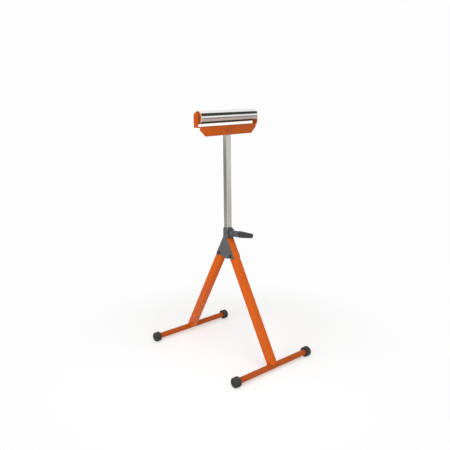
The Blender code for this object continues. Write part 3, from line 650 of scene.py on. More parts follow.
class Effects:
    """Shader groups that several finishes share, each built once."""

    @staticmethod
    def _start(
        name: str, inputs: dict[str, object], outputs: dict[str, str]
    ) -> tuple[Graph, bpy.types.Node, bpy.types.Node]:
        """Makes an empty group with its named sockets.

        Args:
            name: The group's name.
            inputs: The default value of each input: a number, a colour or a vector.
            outputs: Float or Color for each output.

        Returns:
            The group's graph, and the nodes that hold its inputs and outputs.
        """
        tree = bpy.data.node_groups.new(name, "ShaderNodeTree")
        for key, value in inputs.items():
            kind = "Float"
            if isinstance(value, tuple):
                kind = "Color" if len(value) == 4 else "Vector"
            socket = tree.interface.new_socket(name=key, in_out="INPUT", socket_type=f"NodeSocket{kind}")
            socket.default_value = value
        for key, kind in outputs.items():
            tree.interface.new_socket(name=key, in_out="OUTPUT", socket_type=f"NodeSocket{kind}")
        return Graph(tree), tree.nodes.new("NodeGroupInput"), tree.nodes.new("NodeGroupOutput")

    @staticmethod
    def drift() -> bpy.types.NodeTree:
        """A colour that wanders a little lighter and darker over the surface.

        Returns:
            The group.
        """
        name = "colour_drift"
        if name in bpy.data.node_groups:
            return bpy.data.node_groups[name]
        graph, start, end = Effects._start(
            name, {"Color": (0.5, 0.5, 0.5, 1.0), "Amount": 0.05, "Scale": 12.0}, {"Color": "Color"}
        )
        noise = graph.noise(Scale=start.outputs["Scale"], Detail=5.0, Roughness=0.6)
        swing = graph.maths("SUBTRACT", noise, 0.5)
        swing = graph.maths("MULTIPLY", swing, start.outputs["Amount"])
        share = graph.maths("ADD", graph.maths("MULTIPLY", swing, 2.0), 1.0)
        toned = graph.node("VectorMath", {0: start.outputs["Color"], "Scale": share}, operation="SCALE")
        graph.feed(end.inputs["Color"], toned.outputs["Vector"])
        return graph.tree

    @staticmethod
    def grain() -> bpy.types.NodeTree:
        """Fine grain that can be drawn out along an axis, as a height and as roughness.

        Returns:
            The group.
        """
        name = "surface_grain"
        if name in bpy.data.node_groups:
            return bpy.data.node_groups[name]
        graph, start, end = Effects._start(
            name,
            {"Stretch": (1.0, 1.0, 1.0), "Scale": 800.0, "Detail": 2.0, "Base": 0.4, "Swing": 0.1},
            {"Height": "Float", "Roughness": "Float"},
        )
        place = graph.node("TexCoord")
        drawn = graph.node(
            "VectorMath", {0: place.outputs["Object"], 1: start.outputs["Stretch"]}, operation="MULTIPLY"
        )
        scale, detail = start.outputs["Scale"], start.outputs["Detail"]
        noise = graph.noise(drawn.outputs["Vector"], Scale=scale, Detail=detail, Roughness=0.55)
        swing = graph.maths("SUBTRACT", noise, 0.5)
        swing = graph.maths("MULTIPLY", swing, start.outputs["Swing"])
        graph.feed(end.inputs["Height"], noise)
        graph.feed(end.inputs["Roughness"], graph.maths("ADD", swing, start.outputs["Base"]))
        return graph.tree

    @staticmethod
    def rub() -> bpy.types.NodeTree:
        """A lighter, rubbed tone beside edges, broken up by noise.

        Returns:
            The group.
        """
        name = "rubbed_edges"
        if name in bpy.data.node_groups:
            return bpy.data.node_groups[name]
        graph, start, end = Effects._start(
            name,
            {"Color": (0.5, 0.5, 0.5, 1.0), "Rubbed": (0.6, 0.6, 0.6, 1.0), "Amount": 0.3, "Width": 0.001},
            {"Color": "Color"},
        )
        shape = graph.node("NewGeometry")
        eased = graph.node("Bevel", {"Radius": start.outputs["Width"]}, samples=4)
        same = graph.node(
            "VectorMath", {0: eased.outputs["Normal"], 1: shape.outputs["Normal"]}, operation="DOT_PRODUCT"
        )
        bend = graph.maths("SUBTRACT", 1.0, same.outputs["Value"])
        edge = graph.node("MapRange", {"Value": bend, "From Min": 0.01, "From Max": 0.12})
        worn = graph.maths("MULTIPLY", edge.outputs["Result"], graph.noise(Scale=160.0, Detail=5.0))
        worn = graph.maths("MULTIPLY", worn, start.outputs["Amount"])
        toned = graph.blend(worn, start.outputs["Color"], start.outputs["Rubbed"])
        graph.feed(end.inputs["Color"], toned)
        return graph.tree

    @staticmethod
    def dust() -> bpy.types.NodeTree:
        """A thin film of pale dust on what faces up, which dulls the surface under it.

        Returns:
            The group.
        """
        name = "settled_dust"
        if name in bpy.data.node_groups:
            return bpy.data.node_groups[name]
        graph, start, end = Effects._start(
            name,
            {"Color": (0.5, 0.5, 0.5, 1.0), "Roughness": 0.4, "Amount": 0.1, "Dust": (0.46, 0.43, 0.39, 1.0)},
            {"Color": "Color", "Roughness": "Float"},
        )
        shape = graph.node("NewGeometry")
        parts = graph.node("SeparateXYZ", {0: shape.outputs["Normal"]})
        film = graph.maths("MAXIMUM", parts.outputs["Z"], 0.0)
        film = graph.maths("MULTIPLY", film, graph.noise(Scale=90.0, Detail=6.0))
        film = graph.maths("MULTIPLY", film, start.outputs["Amount"])
        toned = graph.blend(film, start.outputs["Color"], start.outputs["Dust"])
        graph.feed(end.inputs["Color"], toned)
        graph.feed(end.inputs["Roughness"], graph.maths("ADD", start.outputs["Roughness"], film))
        return graph.tree


@dataclass(frozen=True)
class Finish:
    """One surface finish, with the values of its colour, gloss and texture."""

    name: str
    slot: str
    colour: Colour
    roughness: float
    metallic: float = 0.0
    swing: float = 0.08
    stretch: Triple = (1.0, 1.0, 1.0)
    grain_scale: float = 800.0
    grain_detail: float = 2.0
    grain_depth: float = 0.02 * MM
    drift: float = 0.06
    drift_scale: float = 14.0
    dust: float = 0.12
    rubbed: Colour = (0.6, 0.6, 0.6)
    rub: float = 0.25
    rub_width: float = 1.0 * MM
    specular: float = 0.5

    def build(self) -> bpy.types.Material:
        """Builds the material, or gives the one that was built before.

        Returns:
            The material.
        """
        if self.name in bpy.data.materials:
            return bpy.data.materials[self.name]
        material = bpy.data.materials.new(self.name)
        material.use_nodes = True
        graph = Graph(material.node_tree)
        shader = material.node_tree.nodes["Principled BSDF"]
        toned = graph.group(
            Effects.drift(), Color=(*self.colour, 1), Amount=self.drift, Scale=self.drift_scale
        )
        worn = graph.group(
            Effects.rub(), Color=toned.outputs["Color"], Rubbed=(*self.rubbed, 1), Amount=self.rub,
            Width=self.rub_width,
        )
        grain = graph.group(
            Effects.grain(), Stretch=self.stretch, Scale=self.grain_scale, Detail=self.grain_detail,
            Base=self.roughness, Swing=self.swing,
        )
        dusty = graph.group(
            Effects.dust(), Color=worn.outputs["Color"], Roughness=grain.outputs["Roughness"],
            Amount=self.dust,
        )
        bump = graph.node(
            "Bump", {"Strength": 1.0, "Distance": self.grain_depth, "Height": grain.outputs["Height"]}
        )
        graph.feed(shader.inputs["Base Color"], dusty.outputs["Color"])
        graph.feed(shader.inputs["Roughness"], dusty.outputs["Roughness"])
        graph.feed(shader.inputs["Normal"], bump.outputs["Normal"])
        shader.inputs["Metallic"].default_value = self.metallic
        shader.inputs["Specular IOR Level"].default_value = self.specular
        return material


ORANGE_POWDER_COAT = Finish(
    "orange_powder_coat", "orange_paint", (0.72, 0.122, 0.006), 0.40, specular=0.15,
    grain_scale=650.0, grain_depth=0.03 * MM, rubbed=(0.80, 0.24, 0.05), drift=0.12, dust=0.05,
)
# A darker copy of the orange powder coat: painted shade on the head bracket, which gets less light than the
# legs.
HEAD_BRACKET_SHADED_PAINT = replace(
    ORANGE_POWDER_COAT, name="orange_head_paint", colour=(0.56, 0.098, 0.006), rubbed=(0.72, 0.22, 0.05)
)
# A darker copy of the orange powder coat: painted shade on the low foot bars, which get less light.
FOOT_BAR_SHADED_PAINT = replace(
    ORANGE_POWDER_COAT, name="orange_foot_bar_paint", colour=(0.50, 0.086, 0.007), roughness=0.42,
    rubbed=(0.70, 0.22, 0.05), drift=0.14,
)
RED_ORANGE_PAINT = Finish(
    "red_orange_cap_paint", "cap_red", (0.62, 0.13, 0.02), 0.40, specular=0.2,
    grain_scale=650.0, grain_depth=0.03 * MM, rubbed=(0.80, 0.25, 0.08),
)
POLISHED_ROLLER_STEEL = Finish(
    "polished_roller_steel", "chrome", (0.83, 0.825, 0.81), 0.10, 1.0, swing=0.05,
    stretch=(1.0, 0.01, 0.01), grain_scale=900.0, grain_depth=0.004 * MM, drift=0.03, dust=0.02,
    rubbed=(0.9, 0.9, 0.9),
)
BRIGHT_ZINC_POST = Finish(
    "bright_zinc_post", "zinc", (0.62, 0.625, 0.56), 0.34, 1.0, swing=0.14,
    stretch=(1.0, 1.0, 0.012), grain_scale=700.0, grain_depth=0.012 * MM, drift=0.08, dust=0.03,
    rubbed=(0.8, 0.8, 0.8),
)
BRIGHT_ZINC = Finish(
    "bright_zinc", "zinc", (0.62, 0.61, 0.57), 0.32, 1.0,
    grain_scale=500.0, grain_depth=0.01 * MM, dust=0.04, rubbed=(0.8, 0.8, 0.8),
)
OVERSPRAYED_ZINC = Finish(
    "oversprayed_zinc", "zinc", (0.46, 0.20, 0.10), 0.46, 0.55,
    grain_scale=500.0, grain_depth=0.02 * MM, dust=0.08, rubbed=(0.62, 0.40, 0.28),
)
GREY_TEXTURED_PAINT = Finish(
    "grey_textured_paint", "grey_paint", (0.105, 0.108, 0.102), 0.48,
    grain_scale=420.0, grain_detail=4.0, grain_depth=0.09 * MM, rubbed=(0.25, 0.25, 0.24), rub=0.35,
)
CLAMP_CASTING_PAINT = Finish(
    "dark_clamp_paint", "grey_paint", (0.045, 0.045, 0.043), 0.45,
    grain_scale=380.0, grain_detail=4.0, grain_depth=0.09 * MM, rubbed=(0.16, 0.16, 0.15), rub=0.35,
)
LEVER_CASTING = Finish(
    "grey_lever_casting", "lever_metal", (0.105, 0.11, 0.125), 0.42, 0.35,
    grain_scale=350.0, grain_detail=4.0, grain_depth=0.06 * MM, rubbed=(0.35, 0.36, 0.38), rub=0.5,
)
BLACKENED_STEEL = Finish(
    "blackened_steel", "black_steel", (0.055, 0.038, 0.036), 0.48, 0.6,
    grain_scale=500.0, grain_depth=0.02 * MM, rubbed=(0.30, 0.30, 0.31), rub=0.6, rub_width=0.6 * MM,
)
BLACK_MOULDED_PLASTIC = Finish(
    "black_moulded_plastic", "black_plastic", (0.030, 0.031, 0.032), 0.46,
    grain_scale=900.0, grain_detail=3.0, grain_depth=0.05 * MM, rubbed=(0.09, 0.09, 0.09), rub=0.5, dust=0.25,
)
BLACK_RUBBER = Finish(
    "black_rubber", "rubber", (0.013, 0.013, 0.014), 0.62,
    grain_scale=600.0, grain_detail=4.0, grain_depth=0.10 * MM, rubbed=(0.08, 0.08, 0.08), rub=0.5, dust=0.22,
)
GROUND_BEARING_STEEL = Finish(
    "ground_bearing_steel", "bearing_steel", (0.62, 0.62, 0.61), 0.18, 1.0,
    grain_scale=900.0, grain_depth=0.003 * MM, dust=0.0, rubbed=(0.7, 0.7, 0.7),
)
CAST_BRASS = Finish(
    "cast_brass", "brass", (0.62, 0.43, 0.15), 0.34, 1.0,
    grain_scale=500.0, dust=0.0, rubbed=(0.8, 0.62, 0.3),
)


@dataclass
class HexFastener:
    """A hexagon bolt with chamfered corners and a cut thread, and the nut that fits it."""

    shank: float
    length: float
    across_flats: float
    head: float
    nut: float
    pitch: float
    bore_gap: float = 0.3 * MM
    thread_share: float = 0.61
    flat_share: float = 0.95
    corner_share: float = 1.2
    chamfer_angle: float = 30.0
    facets: int = 32

    def hexagon(self, name: str, height: float, both_ends: bool) -> Piece:
        """Makes a hexagonal prism whose corners are chamfered by a cone.

        Args:
            name: The piece's name.
            height: Its height above local Z = 0.
            both_ends: True to chamfer the lower end too, as on a nut.

        Returns:
            The prism.
        """
        Bench.deselect()
        half = self.across_flats / 2
        bpy.ops.mesh.primitive_cylinder_add(
            vertices=6, radius=self.across_flats / math.sqrt(3), depth=height, location=(0, 0, height / 2)
        )
        prism = Bench.name_new(name)
        wide, narrow = self.corner_share * half, self.flat_share * half
        slope = (wide - narrow) * math.tan(math.radians(self.chamfer_angle))
        rings = [(wide, 0), (wide, height - slope), (narrow, height)]
        if both_ends:
            rings = [(narrow, 0), (wide, slope)] + rings[1:]
        cone = Bench.turned("chamfer_cone", rings, Matrix(), self.facets)
        Bench.combine(prism, cone, "INTERSECT")
        return prism

    def build_bolt(self, name: str, place: Matrix) -> Piece:
        """Makes the bolt, with its seat at local Z = 0 and its head above.

        Args:
            name: The piece's name.
            place: Where the bolt goes.

        Returns:
            The bolt.
        """
        root = self.shank - self.thread_share * self.pitch
        rings = [(self.shank, self.head / 2)]
        turns = int((self.nut + 3 * self.pitch) / self.pitch)
        height = -self.length + (turns + 1) * self.pitch
        rings.append((self.shank, height))
        for _ in range(turns):
            rings.append((root, height - self.pitch / 2))
            rings.append((self.shank, height - self.pitch))
            height -= self.pitch
        rings.append((root, -self.length))
        bolt = Bench.turned(name, rings, Matrix(), self.facets)
        Bench.combine(bolt, self.hexagon("bolt_head", self.head, False), "UNION")
        Bench.put(bolt, place)
        return bolt

    def build_nut(self, name: str, place: Matrix) -> Piece:
        """Makes the nut, which stands on local Z = 0.

        Args:
            name: The piece's name.
            place: Where the nut goes.

        Returns:
            The nut.
        """
        nut = self.hexagon(name, self.nut, True)
        Bench.bore(nut, self.shank + self.bore_gap, 3 * self.nut, Facing.UP.at(0, 0, self.nut / 2))
        Bench.put(nut, place)
        return nut


@dataclass
class Head:
    """The folded bracket at the top, with the bolts that hold it to the post."""

    half_length: float = 161.5 * MM
    half_width: float = 15.5 * MM
    web_height: float = 1026.0 * MM
    sheet: float = 2.5 * MM
    fold_radius: float = 3.2 * MM
    skirt_half_length: float = 154.0 * MM
    skirt_straight: float = 12.0 * MM
    skirt_drop: float = 38.5 * MM
    skirt_clip: float = 27.0 * MM
    neck_half_width: float = 11.8 * MM
    neck_height: float = 4.5 * MM
    ear_half_width: float = 14.5 * MM
    ear_top: float = 1085.0 * MM
    ear_steps: int = 12
    axle_height: float = 1065.0 * MM
    axle_hole: float = 4.3 * MM
    bolt_hole: float = 3.3 * MM
    bolt_heights: Pair = (1011.0 * MM, 995.0 * MM)
    front_seat: float = 15.8 * MM
    back_seat: float = 13.0 * MM
    edge: float = 0.35 * MM
    screws: HexFastener = field(
        default_factory=lambda: HexFastener(3.0 * MM, 35.3 * MM, 10.0 * MM, 4.0 * MM, 5.0 * MM, 1.0 * MM)
    )

    def build(self) -> None:
        """Builds the bracket, then its bolts and nuts."""
        self.build_bracket()
        for label, height in zip(("upper", "lower"), self.bolt_heights):
            bolt = self.screws.build_bolt(f"{label}_head_bolt", Facing.FRONT.at(0, -self.front_seat, height))
            Bench.hand_over(bolt, "post", OVERSPRAYED_ZINC, f"head_bolt_{label}")
            nut = self.screws.build_nut(f"{label}_head_nut", Facing.BACK.at(0, self.back_seat, height))
            Bench.hand_over(nut, "post", BRIGHT_ZINC, f"head_nut_{label}")

    def ear_rows(self) -> list[Row]:
        """Gives the rows of an ear's round top.

        Returns:
            The half width, height and X shift of each row.
        """
        base = self.ear_top - self.ear_half_width
        rings = arc_rings((0, base), self.ear_half_width, 0, 90, self.ear_steps)
        return [(width, height, 0.0) for width, height in rings]

    def build_bracket(self) -> None:
        """Folds the bracket from one sheet: web, front skirt and ears."""
        depth = self.half_width + self.ear_half_width
        bracket = Bench.sheet("folded_bracket", 2 * self.half_length, depth, self.web_height)
        Bench.put(bracket, Matrix.Translation((0, depth / 2 - self.half_width, 0)))
        Bench.edit(bracket)
        for side in (-1, 1):
            Bench.slice_at((side * self.skirt_half_length, 0, 0), (1, 0, 0))
        Bench.slice_at((0, -self.neck_half_width, 0), (0, 1, 0))
        Bench.pick_faces(
            bracket,
            lambda middle, normal: abs(middle.x) > self.skirt_half_length
            and middle.y < -self.neck_half_width,
        )
        bpy.ops.mesh.delete(type="FACE")
        Bench.pick_edges(bracket, lambda middle, run: abs(middle.y + self.half_width) < TINY)
        Bench.pull((0, 0, -self.skirt_straight))
        Bench.pull((0, 0, self.skirt_straight - self.skirt_drop))
        share = (self.skirt_half_length - self.skirt_clip) / self.skirt_half_length
        Bench.stretch((share, 1, 1), (0, 0, self.web_height - self.skirt_drop))
        Bench.pick_edges(bracket, lambda middle, run: abs(abs(middle.x) - self.half_length) < TINY)
        widening = self.ear_half_width - self.neck_half_width
        shoulder = self.web_height + self.neck_height + widening
        ear_width = 2 * self.ear_half_width
        Bench.pull((0, 0, self.neck_height))
        Bench.pull((0, 0, widening))
        Bench.stretch((1, ear_width / (ear_width - widening), 1), (0, self.ear_half_width, shoulder))
        Bench.climb((self.ear_half_width, shoulder, 0.0), self.ear_rows())
        bpy.ops.mesh.select_all(action="SELECT")
        bpy.ops.mesh.remove_doubles(threshold=TINY / 2)
        Bench.pick_edges(
            bracket,
            lambda middle, run: abs(middle.z - self.web_height) < TINY
            and (
                (abs(middle.y + self.half_width) < TINY and abs(run.y) < TINY)
                or (abs(abs(middle.x) - self.half_length) < TINY and abs(run.x) < TINY)
            ),
        )
        Bench.round_picked(self.fold_radius)
        bpy.ops.object.mode_set(mode="OBJECT")
        Bench.thicken(bracket, self.sheet)
        for side in Side:
            ear = side.value * (self.half_length + self.sheet / 2)
            Bench.bore(bracket, self.axle_hole, 4 * self.sheet, Facing.RIGHT.at(ear, 0, self.axle_height))
        for height in self.bolt_heights:
            Bench.bore(bracket, self.bolt_hole, 3 * self.half_width, Facing.FRONT.at(0, 0, height))
        Bench.soften(bracket, self.edge)
        Bench.hand_over(bracket, "post", HEAD_BRACKET_SHADED_PAINT, "head_bracket")


@dataclass
class Roller:
    """The steel roller with its end caps, bearings, spacers and axle."""

    axis_height: float = 1065.0 * MM
    radius: float = 27.0 * MM
    wall: float = 1.6 * MM
    half_length: float = 154.0 * MM
    lip: float = 1.4 * MM
    facets: int = 160
    cap_rim: float = 25.1 * MM
    cap_face: float = -0.5 * MM
    cap_depth: float = 12.0 * MM
    cap_sheet: float = 2.0 * MM
    cap_rounding: float = 1.5 * MM
    pocket: float = 11.3 * MM
    pocket_seat: float = -9.6 * MM
    pocket_lip: float = 9.0 * MM
    bearing_middle: float = -5.8 * MM
    bearing_half: float = 3.5 * MM
    bearing_radius: float = 11.0 * MM
    ball_path: float = 7.5 * MM
    ball_radius: float = 2.0 * MM
    ball_count: int = 7
    ball_segments: int = 24
    land: float = 1.4 * MM
    groove: float = 2.3 * MM
    groove_steps: int = 10
    cage_half_wall: float = 0.95 * MM
    cage_half_width: float = 3.1 * MM
    cage_facets: int = 56
    axle: float = 4.0 * MM
    axle_gap: float = 0.3 * MM
    axle_half_length: float = 164.0 * MM
    peen: tuple[Pair, ...] = (
        (0.0, 0.8 * MM), (0.3 * MM, 0.2 * MM), (1.0 * MM, 0.0), (2.4 * MM, 0.2 * MM), (3.0 * MM, 0.8 * MM),
    )
    spacer_wall: float = 1.8 * MM
    spacer_ends: Pair = (-2.0 * MM, 7.2 * MM)
    chamfer: float = 0.3 * MM

    def build(self) -> None:
        """Builds the roller from its tube inwards."""
        self.build_tube()
        self.build_axle()
        for side in Side:
            end = side.outwards.at(side.value * self.half_length, 0, self.axis_height)
            self.build_cap(side, end)
            self.build_races(side, end)
            self.build_cage(side, end)
            self.build_spacer(side, end)

    def build_tube(self) -> None:
        """Turns the roller's tube, with rounded lips."""
        inner = self.radius - self.wall
        middle = self.radius - self.lip
        rings = [(inner, self.chamfer - self.half_length), (inner + self.chamfer, -self.half_length)]
        rings += arc_rings((middle, self.lip - self.half_length), self.lip, -90, 0)
        rings += arc_rings((middle, self.half_length - self.lip), self.lip, 0, 90)
        rings += [(inner + self.chamfer, self.half_length), (inner, self.half_length - self.chamfer)]
        rings.append(rings[0])
        tube = Bench.turned(
            "polished_roller", rings, Facing.RIGHT.at(0, 0, self.axis_height), self.facets, hollow=True
        )
        Bench.hand_over(tube, "roller", POLISHED_ROLLER_STEEL, "roller_tube")

    def build_cap(self, side: Side, end: Matrix) -> None:
        """Turns a pressed end cap, with the pocket that holds the bearing.

        Args:
            side: The end of the roller.
            end: The middle of that end, facing out.
        """
        face, sheet, fold = self.cap_face, self.cap_sheet, self.cap_rounding
        lower = face - self.cap_depth
        rings = [(self.cap_rim, lower)]
        rings += arc_rings((self.cap_rim - fold, face - fold), fold, 0, 90)
        rings += arc_rings((self.pocket + fold / 2, face - fold / 2), fold / 2, 90, 180)
        rings += [
            (self.pocket, self.pocket_seat),
            (self.pocket_lip, self.pocket_seat),
            (self.pocket_lip, self.pocket_seat - sheet),
            (self.pocket + sheet, self.pocket_seat - sheet),
            (self.pocket + sheet, face - sheet),
            (self.cap_rim - sheet, face - sheet),
            (self.cap_rim - sheet, lower),
            rings[0],
        ]
        cap = Bench.turned(f"{side.label}_roller_cap", rings, end, LARGE_ROUND, hollow=True)
        Bench.hand_over(cap, "roller", RED_ORANGE_PAINT, f"roller_cap_{side.label}")

    def groove_rings(self, sign: int) -> list[Ring]:
        """Gives the rings of a race's ball groove, from its upper land to its lower one.

        Args:
            sign: 1 for the outer race and -1 for the inner one.

        Returns:
            The rings.
        """
        middle = 0 if sign > 0 else 180
        half = math.degrees(math.acos(self.land / self.groove))
        centre = (self.ball_path, self.bearing_middle)
        start, end = middle + sign * half, middle - sign * half
        return arc_rings(centre, self.groove, start, end, self.groove_steps)

    def build_races(self, side: Side, end: Matrix) -> None:
        """Turns both races of a bearing.

        Args:
            side: The end of the roller.
            end: The middle of that end, facing out.
        """
        low = self.bearing_middle - self.bearing_half
        high = self.bearing_middle + self.bearing_half
        for label, rim, sign, body in (
            ("inner", self.axle + self.axle_gap, -1, "post"),
            ("outer", self.bearing_radius, 1, "roller"),
        ):
            land = self.ball_path + sign * self.land
            rings = [(rim, low), (rim, high), (land, high), *self.groove_rings(sign), (land, low), (rim, low)]
            race = Bench.turned(f"{side.label}_{label}_race", rings, end, ROUND, hollow=True)
            Bench.soften(race, self.chamfer)
            Bench.hand_over(race, body, GROUND_BEARING_STEEL, f"bearing_{label}_race_{side.label}")

    def build_cage(self, side: Side, end: Matrix) -> None:
        """Makes the ring of balls and the cage that spaces them.

        Args:
            side: The end of the roller.
            end: The middle of that end, facing out.
        """
        inner, outer = self.ball_path - self.cage_half_wall, self.ball_path + self.cage_half_wall
        low = self.bearing_middle - self.cage_half_width
        high = self.bearing_middle + self.cage_half_width
        rings = ring_section(inner, outer, low, high, self.chamfer)
        cage = Bench.turned(f"{side.label}_ball_cage", rings, Matrix(), self.cage_facets, hollow=True)
        for index in range(self.ball_count):
            Bench.deselect()
            angle = 2 * math.pi * index / self.ball_count
            bpy.ops.mesh.primitive_uv_sphere_add(
                segments=self.ball_segments,
                ring_count=self.ball_segments // 2,
                radius=self.ball_radius,
                location=(
                    self.ball_path * math.cos(angle),
                    self.ball_path * math.sin(angle),
                    self.bearing_middle,
                ),
            )
            Bench.combine(cage, Bench.name_new("ball"), "UNION")
        Bench.put(cage, end)
        Bench.hand_over(cage, "bearing_cages", CAST_BRASS, f"bearing_balls_{side.label}")

    def build_spacer(self, side: Side, end: Matrix) -> None:
        """Turns the spacer between a bearing and its ear.

        Args:
            side: The end of the roller.
            end: The middle of that end, facing out.
        """
        bore = self.axle + self.axle_gap
        rings = ring_section(bore, bore + self.spacer_wall, *self.spacer_ends, self.chamfer)
        spacer = Bench.turned(f"{side.label}_axle_spacer", rings, end, hollow=True)
        Bench.hand_over(spacer, "post", BRIGHT_ZINC, f"axle_spacer_{side.label}")

    def build_axle(self) -> None:
        """Turns the axle, with both ends peened flush with the ears."""
        half = self.axle_half_length
        upper = [(self.axle - inset, half - drop) for inset, drop in self.peen]
        rings = [(radius, -height) for radius, height in reversed(upper)] + upper
        axle = Bench.turned("peened_axle", rings, Facing.RIGHT.at(0, 0, self.axis_height))
        Bench.hand_over(axle, "post", OVERSPRAYED_ZINC, "roller_axle")


@dataclass
class Post:
    """The sliding square post and the plug that stops it."""

    half_width: float = 12.7 * MM
    corner: float = 2.5 * MM
    wall: float = 1.5 * MM
    low: float = 444.2 * MM
    high: float = 1023.2 * MM
    bolt_hole: float = 3.3 * MM
    bolt_heights: Pair = (1011.0 * MM, 995.0 * MM)
    flange_half: float = 14.45 * MM
    flange: float = 3.0 * MM
    stem_half: float = 10.9 * MM
    stem: float = 16.0 * MM
    stem_corner: float = 1.0 * MM
    edge: float = 0.25 * MM
    plug_gap: float = 0.3 * MM

    def build(self) -> None:
        """Builds the post's tube and its plug."""
        half = self.half_width
        tube = Bench.box_tube("sliding_post", (half, half), self.corner, self.wall, (self.low, self.high))
        for height in self.bolt_heights:
            Bench.bore(tube, self.bolt_hole, 3 * half, Facing.FRONT.at(0, 0, height))
        Bench.soften(tube, self.edge)
        Bench.hand_over(tube, "post", BRIGHT_ZINC_POST, "post_tube")
        self.build_plug()

    def build_plug(self) -> None:
        """Moulds the plug: a flange, and a stem that grips inside the post."""
        top = self.low - self.plug_gap
        half = self.flange_half
        plug = Bench.block("post_end_plug", (-half, -half, top - self.flange), (half, half, top))
        Bench.edit(plug)
        Bench.pick_faces(plug, lambda middle, normal: normal.z > 0.5)
        bpy.ops.mesh.inset(thickness=half - self.stem_half)
        Bench.pull((0, 0, self.stem))
        Bench.pick_edges(plug, lambda middle, run: abs(run.z) > TINY and middle.z < top)
        Bench.round_picked(self.corner)
        Bench.pick_edges(plug, lambda middle, run: abs(run.z) > TINY and middle.z > top)
        Bench.round_picked(self.stem_corner)
        Bench.close_up()
        Bench.soften(plug, self.edge)
        Bench.hand_over(plug, "post", BLACK_MOULDED_PLASTIC, "post_plug")


@dataclass
class Collar:
    """The sleeve, the gusset plates that flare from it, and their welds."""

    sleeve_half: float = 14.45 * MM
    sleeve_corner: float = 3.95 * MM
    sleeve_wall: float = 1.45 * MM
    sleeve_low: float = 444.2 * MM
    sleeve_top: float = 581.5 * MM
    clamp_height: float = 559.0 * MM
    shoe_window: float = 6.3 * MM
    plate: float = 2.0 * MM
    plate_x: float = 17.55 * MM
    collar_x: float = 15.75 * MM
    collar_half: float = 12.5 * MM
    collar_top: float = 579.0 * MM
    flare_height: float = 538.0 * MM
    corner: Pair = (62.0 * MM, 452.0 * MM)
    foot: float = 447.5 * MM
    corner_radius: float = 7.0 * MM
    corner_steps: int = 10
    joggle: Pair = (539.4 * MM, 547.4 * MM)
    joggle_steps: int = 8
    pivot: Pair = (40.0 * MM, 459.0 * MM)
    pivot_hole: float = 4.3 * MM
    bead_radius: float = 1.1 * MM
    bead_ends: Pair = (549.0 * MM, 577.5 * MM)
    ripple: float = 1.5 * MM
    bead_shares: tuple[float, ...] = (0.3, 0.82, 0.35, 0.4)
    bead_facets: int = 16
    edge: float = 0.35 * MM

    def build(self) -> None:
        """Builds the sleeve, both plates and the welds between them."""
        half, ends = self.sleeve_half, (self.sleeve_low, self.sleeve_top)
        sleeve = Bench.box_tube("welded_sleeve", (half, half), self.sleeve_corner, self.sleeve_wall, ends)
        window = Facing.FRONT.at(0, -half, self.clamp_height)
        Bench.bore(sleeve, self.shoe_window, 6 * self.sleeve_wall, window)
        Bench.soften(sleeve, self.edge)
        Bench.hand_over(sleeve, "clamp_unit", GREY_TEXTURED_PAINT, "guide_sleeve")
        self.build_plates()
        self.build_beads()

    def plate_rows(self) -> list[Row]:
        """Gives the rows of a plate from its foot to its top.

        Returns:
            The half width, height and X of each row.
        """
        corner_y, corner_z = self.corner
        slope = (corner_y - self.collar_half) / (self.flare_height - corner_z)
        tilt = math.atan(slope)
        centre_z = self.foot + self.corner_radius
        centre_y = corner_y - self.corner_radius / math.cos(tilt) - (centre_z - corner_z) * slope
        centre, end = (centre_y, centre_z), math.degrees(tilt)
        rings = arc_rings(centre, self.corner_radius, -90, end, self.corner_steps)
        rows = [(width, height, self.plate_x) for width, height in rings]
        rows.append((self.collar_half, self.flare_height, self.plate_x))
        start, end = self.joggle
        for step in range(self.joggle_steps + 1):
            height = start + (end - start) * step / self.joggle_steps
            share = (1 - math.cos(math.pi * step / self.joggle_steps)) / 2
            x = self.plate_x + (self.collar_x - self.plate_x) * share
            rows.append((self.collar_half, height, x))
        rows.append((self.collar_half, self.collar_top, self.collar_x))
        return rows

    def build_plates(self) -> None:
        """Presses the right plate, row by row, and mirrors it to the left."""
        rows = self.plate_rows()
        (width, low, x), (_, high, _) = rows[:2]
        Bench.deselect()
        bpy.ops.mesh.primitive_plane_add(
            size=1, location=(x, 0, (low + high) / 2), rotation=(0, math.pi / 2, 0)
        )
        bpy.context.active_object.scale = (high - low, 2 * width, 1)
        plate = Bench.name_new("right_gusset")
        Bench.edit(plate)
        Bench.pick_edges(plate, lambda middle, run: abs(run.z) < TINY and abs(middle.z - high) < TINY / 10)
        Bench.stretch((1, rows[1][0] / width, 1), (0, 0, high))
        Bench.climb(rows[1], rows[2:])
        bpy.ops.object.mode_set(mode="OBJECT")
        Bench.thicken(plate, self.plate, offset=0.0)
        for leg in Leg:
            place = Facing.RIGHT.at(self.plate_x, leg.value * self.pivot[0], self.pivot[1])
            Bench.bore(plate, self.pivot_hole, 4 * self.plate, place)
        Bench.soften(plate, self.edge)
        twin = Bench.copy_of(plate, "left_gusset", Matrix.Diagonal((-1, 1, 1, 1)))
        Bench.hand_over(plate, "clamp_unit", GREY_TEXTURED_PAINT, "gusset_plate_right")
        Bench.hand_over(twin, "clamp_unit", GREY_TEXTURED_PAINT, "gusset_plate_left")

    def build_beads(self) -> None:
        """Lays a rippled weld bead down each edge of the plates, on the sleeve's corners."""
        rings = bead_rings(self.bead_radius, self.bead_ends, self.ripple, self.bead_shares)
        seed = Bench.turned("collar_weld_seed", rings, Matrix(), self.bead_facets)
        for side in Side:
            for leg in Leg:
                place = (side.value * self.sleeve_half, leg.value * self.collar_half, 0)
                name = f"collar_weld_{leg.label}_{side.label}"
                bead = Bench.copy_of(seed, name, Matrix.Translation(place))
                Bench.hand_over(bead, "clamp_unit", GREY_TEXTURED_PAINT)
        bpy.data.objects.remove(seed, do_unlink=True)


